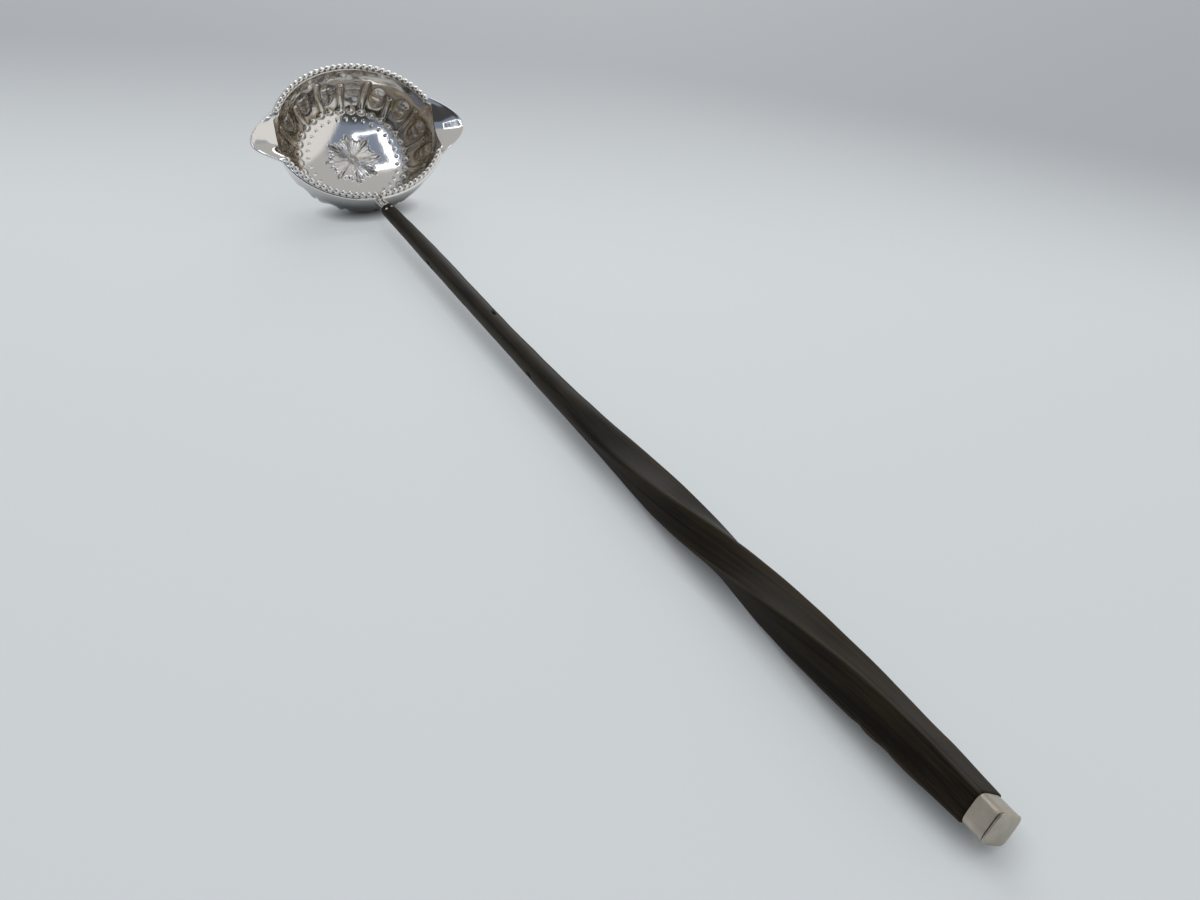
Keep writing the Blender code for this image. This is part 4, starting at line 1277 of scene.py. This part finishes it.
def paper_floor(stage):
    """Pale paper that darkens towards the back and shows a share of its own colour, for soft shadows."""
    made, nodes = fresh_material("paper_floor")
    x, y = nodes.parts(nodes.add("ShaderNodeTexCoord", output="Object"), "XY")
    back = x * FADE_WAY[0] + y * FADE_WAY[1] + (x - SIDE_START).within(0.0, SIDE_RANGE) * SIDE_FADE
    tint = nodes.mix(back.within(FADE_START, FADE_END), stage.floor, stage.far_floor)
    straight, mirrored = (nodes.add("ShaderNodeLightPath", output=ray)
                          for ray in ("Is Camera Ray", "Is Glossy Ray"))
    open_sky, open_below = (nodes.add("ShaderNodeAmbientOcclusion", None, {"Distance": distance}, output="AO")
                            for distance in (stage.nook, stage.mirrored_nook))
    glow = nodes.mix((straight * open_sky + mirrored * open_below) * stage.glow, (0.0, 0.0, 0.0), tint)
    nodes.surface_from(Base_Color=tint, Emission_Color=glow, Emission_Strength=1.0, Roughness=0.75)
    return made


def room():
    """Light of a room: a pale wall on the right, grey behind and above, blue-grey and dark in front.

    x and y are the parts of a direction to the right and to the back.
    """
    world = bpy.data.worlds.new("booth")
    bpy.context.scene.world = world
    nodes = Nodes(world)
    x, y = nodes.parts(nodes.add("ShaderNodeTexCoord", output="Generated"), "XY")
    grey = nodes.mix(y.within(0.3, 0.7), NEAR_GREY, FAR_GREY)
    light = nodes.mix(y.within(-0.22, -0.08), BLUE_GREY, grey)
    light = nodes.mix(x.within(0.36, 0.44), light, grey)
    light = nodes.mix((0.0 - y).within(0.57, 0.62), light, LOW_DARK)
    light = nodes.mix((x * 0.84 - y * 0.54).within(0.53, 0.56), light, PALE_WALL)
    sky = nodes.add("ShaderNodeBackground", None, {"Color": light, "Strength": 1.0}, output="Background")
    nodes.add("ShaderNodeOutputWorld", None, {"Surface": sky})


def area_lamp(name, size, centre, target, radiance):
    """Add a rectangular lamp that faces a target. Its power is radiance times pi times its area."""
    lamp = bpy.data.lights.new(name, "AREA")
    lamp.shape = "RECTANGLE"
    lamp.size, lamp.size_y = size
    lamp.energy = radiance * math.pi * size[0] * size[1]
    made = bpy.data.objects.new(name, lamp)
    down = unit(np.array(centre) - np.array(target))
    side = unit(np.cross((0.0, 1.0, 0.0), down))
    turned = np.stack((side, np.cross(down, side), down), axis=1)
    made.matrix_world = Matrix.Translation(centre) @ Matrix(turned.tolist()).to_4x4()
    bpy.context.scene.collection.objects.link(made)


def camera(stage):
    """Add the camera from its stand, heading, dip and roll."""
    lens = bpy.data.cameras.new("camera")
    lens.sensor_width, lens.lens = SENSOR_WIDTH, stage.focal_length
    lens.clip_start = NEAREST
    ahead = np.array((math.sin(stage.heading) * math.cos(stage.dip),
                      math.cos(stage.heading) * math.cos(stage.dip), -math.sin(stage.dip)))
    level = np.array((math.cos(stage.heading), -math.sin(stage.heading), 0.0))
    above = np.cross(level, ahead)
    right = math.cos(stage.roll) * level + math.sin(stage.roll) * above
    up = math.cos(stage.roll) * above - math.sin(stage.roll) * level
    made = bpy.data.objects.new("camera", lens)
    turned = Matrix(np.stack((right, up, -ahead), axis=1).tolist())
    made.matrix_world = Matrix.Translation(tuple(stage.stand)) @ turned.to_4x4()
    bpy.context.scene.collection.objects.link(made)
    bpy.context.scene.camera = made


class LADLE_OT_stage(bpy.types.Operator):
    """Lay the floor, light it and set the camera"""

    bl_idname = "ladle.stage"
    bl_label = "Stage"

    def execute(self, context):
        stage = context.scene.ladle_stage
        mesh = bpy.data.meshes.new("floor")
        corners = [(FLOOR_HALF * x, FLOOR_HALF * y, 0) for x, y in ((-1, -1), (1, -1), (1, 1), (-1, 1))]
        mesh.from_pydata(corners, [], [(0, 1, 2, 3)])
        mesh.materials.append(paper_floor(stage))
        floor = bpy.data.objects.new("floor", mesh)
        context.scene.collection.objects.link(floor)
        room()
        area_lamp("key_lamp", KEY_SIZE, KEY_PLACE, KEY_TARGET, KEY_RADIANCE)
        (left, right), (near, far) = FRAME_SIDES, FRAME_ENDS
        across, along = (left + right) / 2, (near + far) / 2
        bars = {
            "frame_near": ((right - left, FRAME_BAR / 3), (across, near)),
            "frame_far": ((right - left, FRAME_BAR), (across, far)),
            "frame_left": ((FRAME_BAR, far - near), (left, along)),
            "frame_right": ((FRAME_BAR / 2, far - near), (right, along)),
        }
        for name, (size, place) in bars.items():
            area_lamp(name, size, (*place, FRAME_HEIGHT), (*place, 0.0), FRAME_RADIANCE)
        camera(stage)
        context.scene.view_settings.view_transform = "Standard"
        return {"FINISHED"}


OPERATORS = (LADLE_OT_bowl, LADLE_OT_lips, LADLE_OT_beading, LADLE_OT_stem, LADLE_OT_handle, LADLE_OT_cap,
             LADLE_OT_stage)


class LADLE_PT_looks(bpy.types.Panel):
    """Panel that lists the ladle's pieces."""

    bl_idname = "LADLE_PT_looks"
    bl_label = "Punch Ladle"
    bl_space_type = "VIEW_3D"
    bl_region_type = "UI"
    bl_category = "Ladle"

    def draw(self, context):
        for operator in OPERATORS:
            self.layout.operator(operator.bl_idname)


CLASSES = (*GROUPS.values(), *OPERATORS, LADLE_PT_looks)


def register():
    """Register the classes and hang the settings on the scene."""
    for item in CLASSES:
        bpy.utils.register_class(item)
    for name, group in GROUPS.items():
        setattr(bpy.types.Scene, name, bpy.props.PointerProperty(type=group))


def unregister():
    """Take the settings off the scene and unregister the classes."""
    for name in GROUPS:
        delattr(bpy.types.Scene, name)
    for item in reversed(CLASSES):
        bpy.utils.unregister_class(item)


def main():
    """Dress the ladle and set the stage."""
    register()
    for step in ("bowl", "lips", "beading", "stem", "handle", "cap", "stage"):
        getattr(bpy.ops.ladle, step)()
    bpy.context.view_layer.update()


if __name__ == "__main__":
    main()
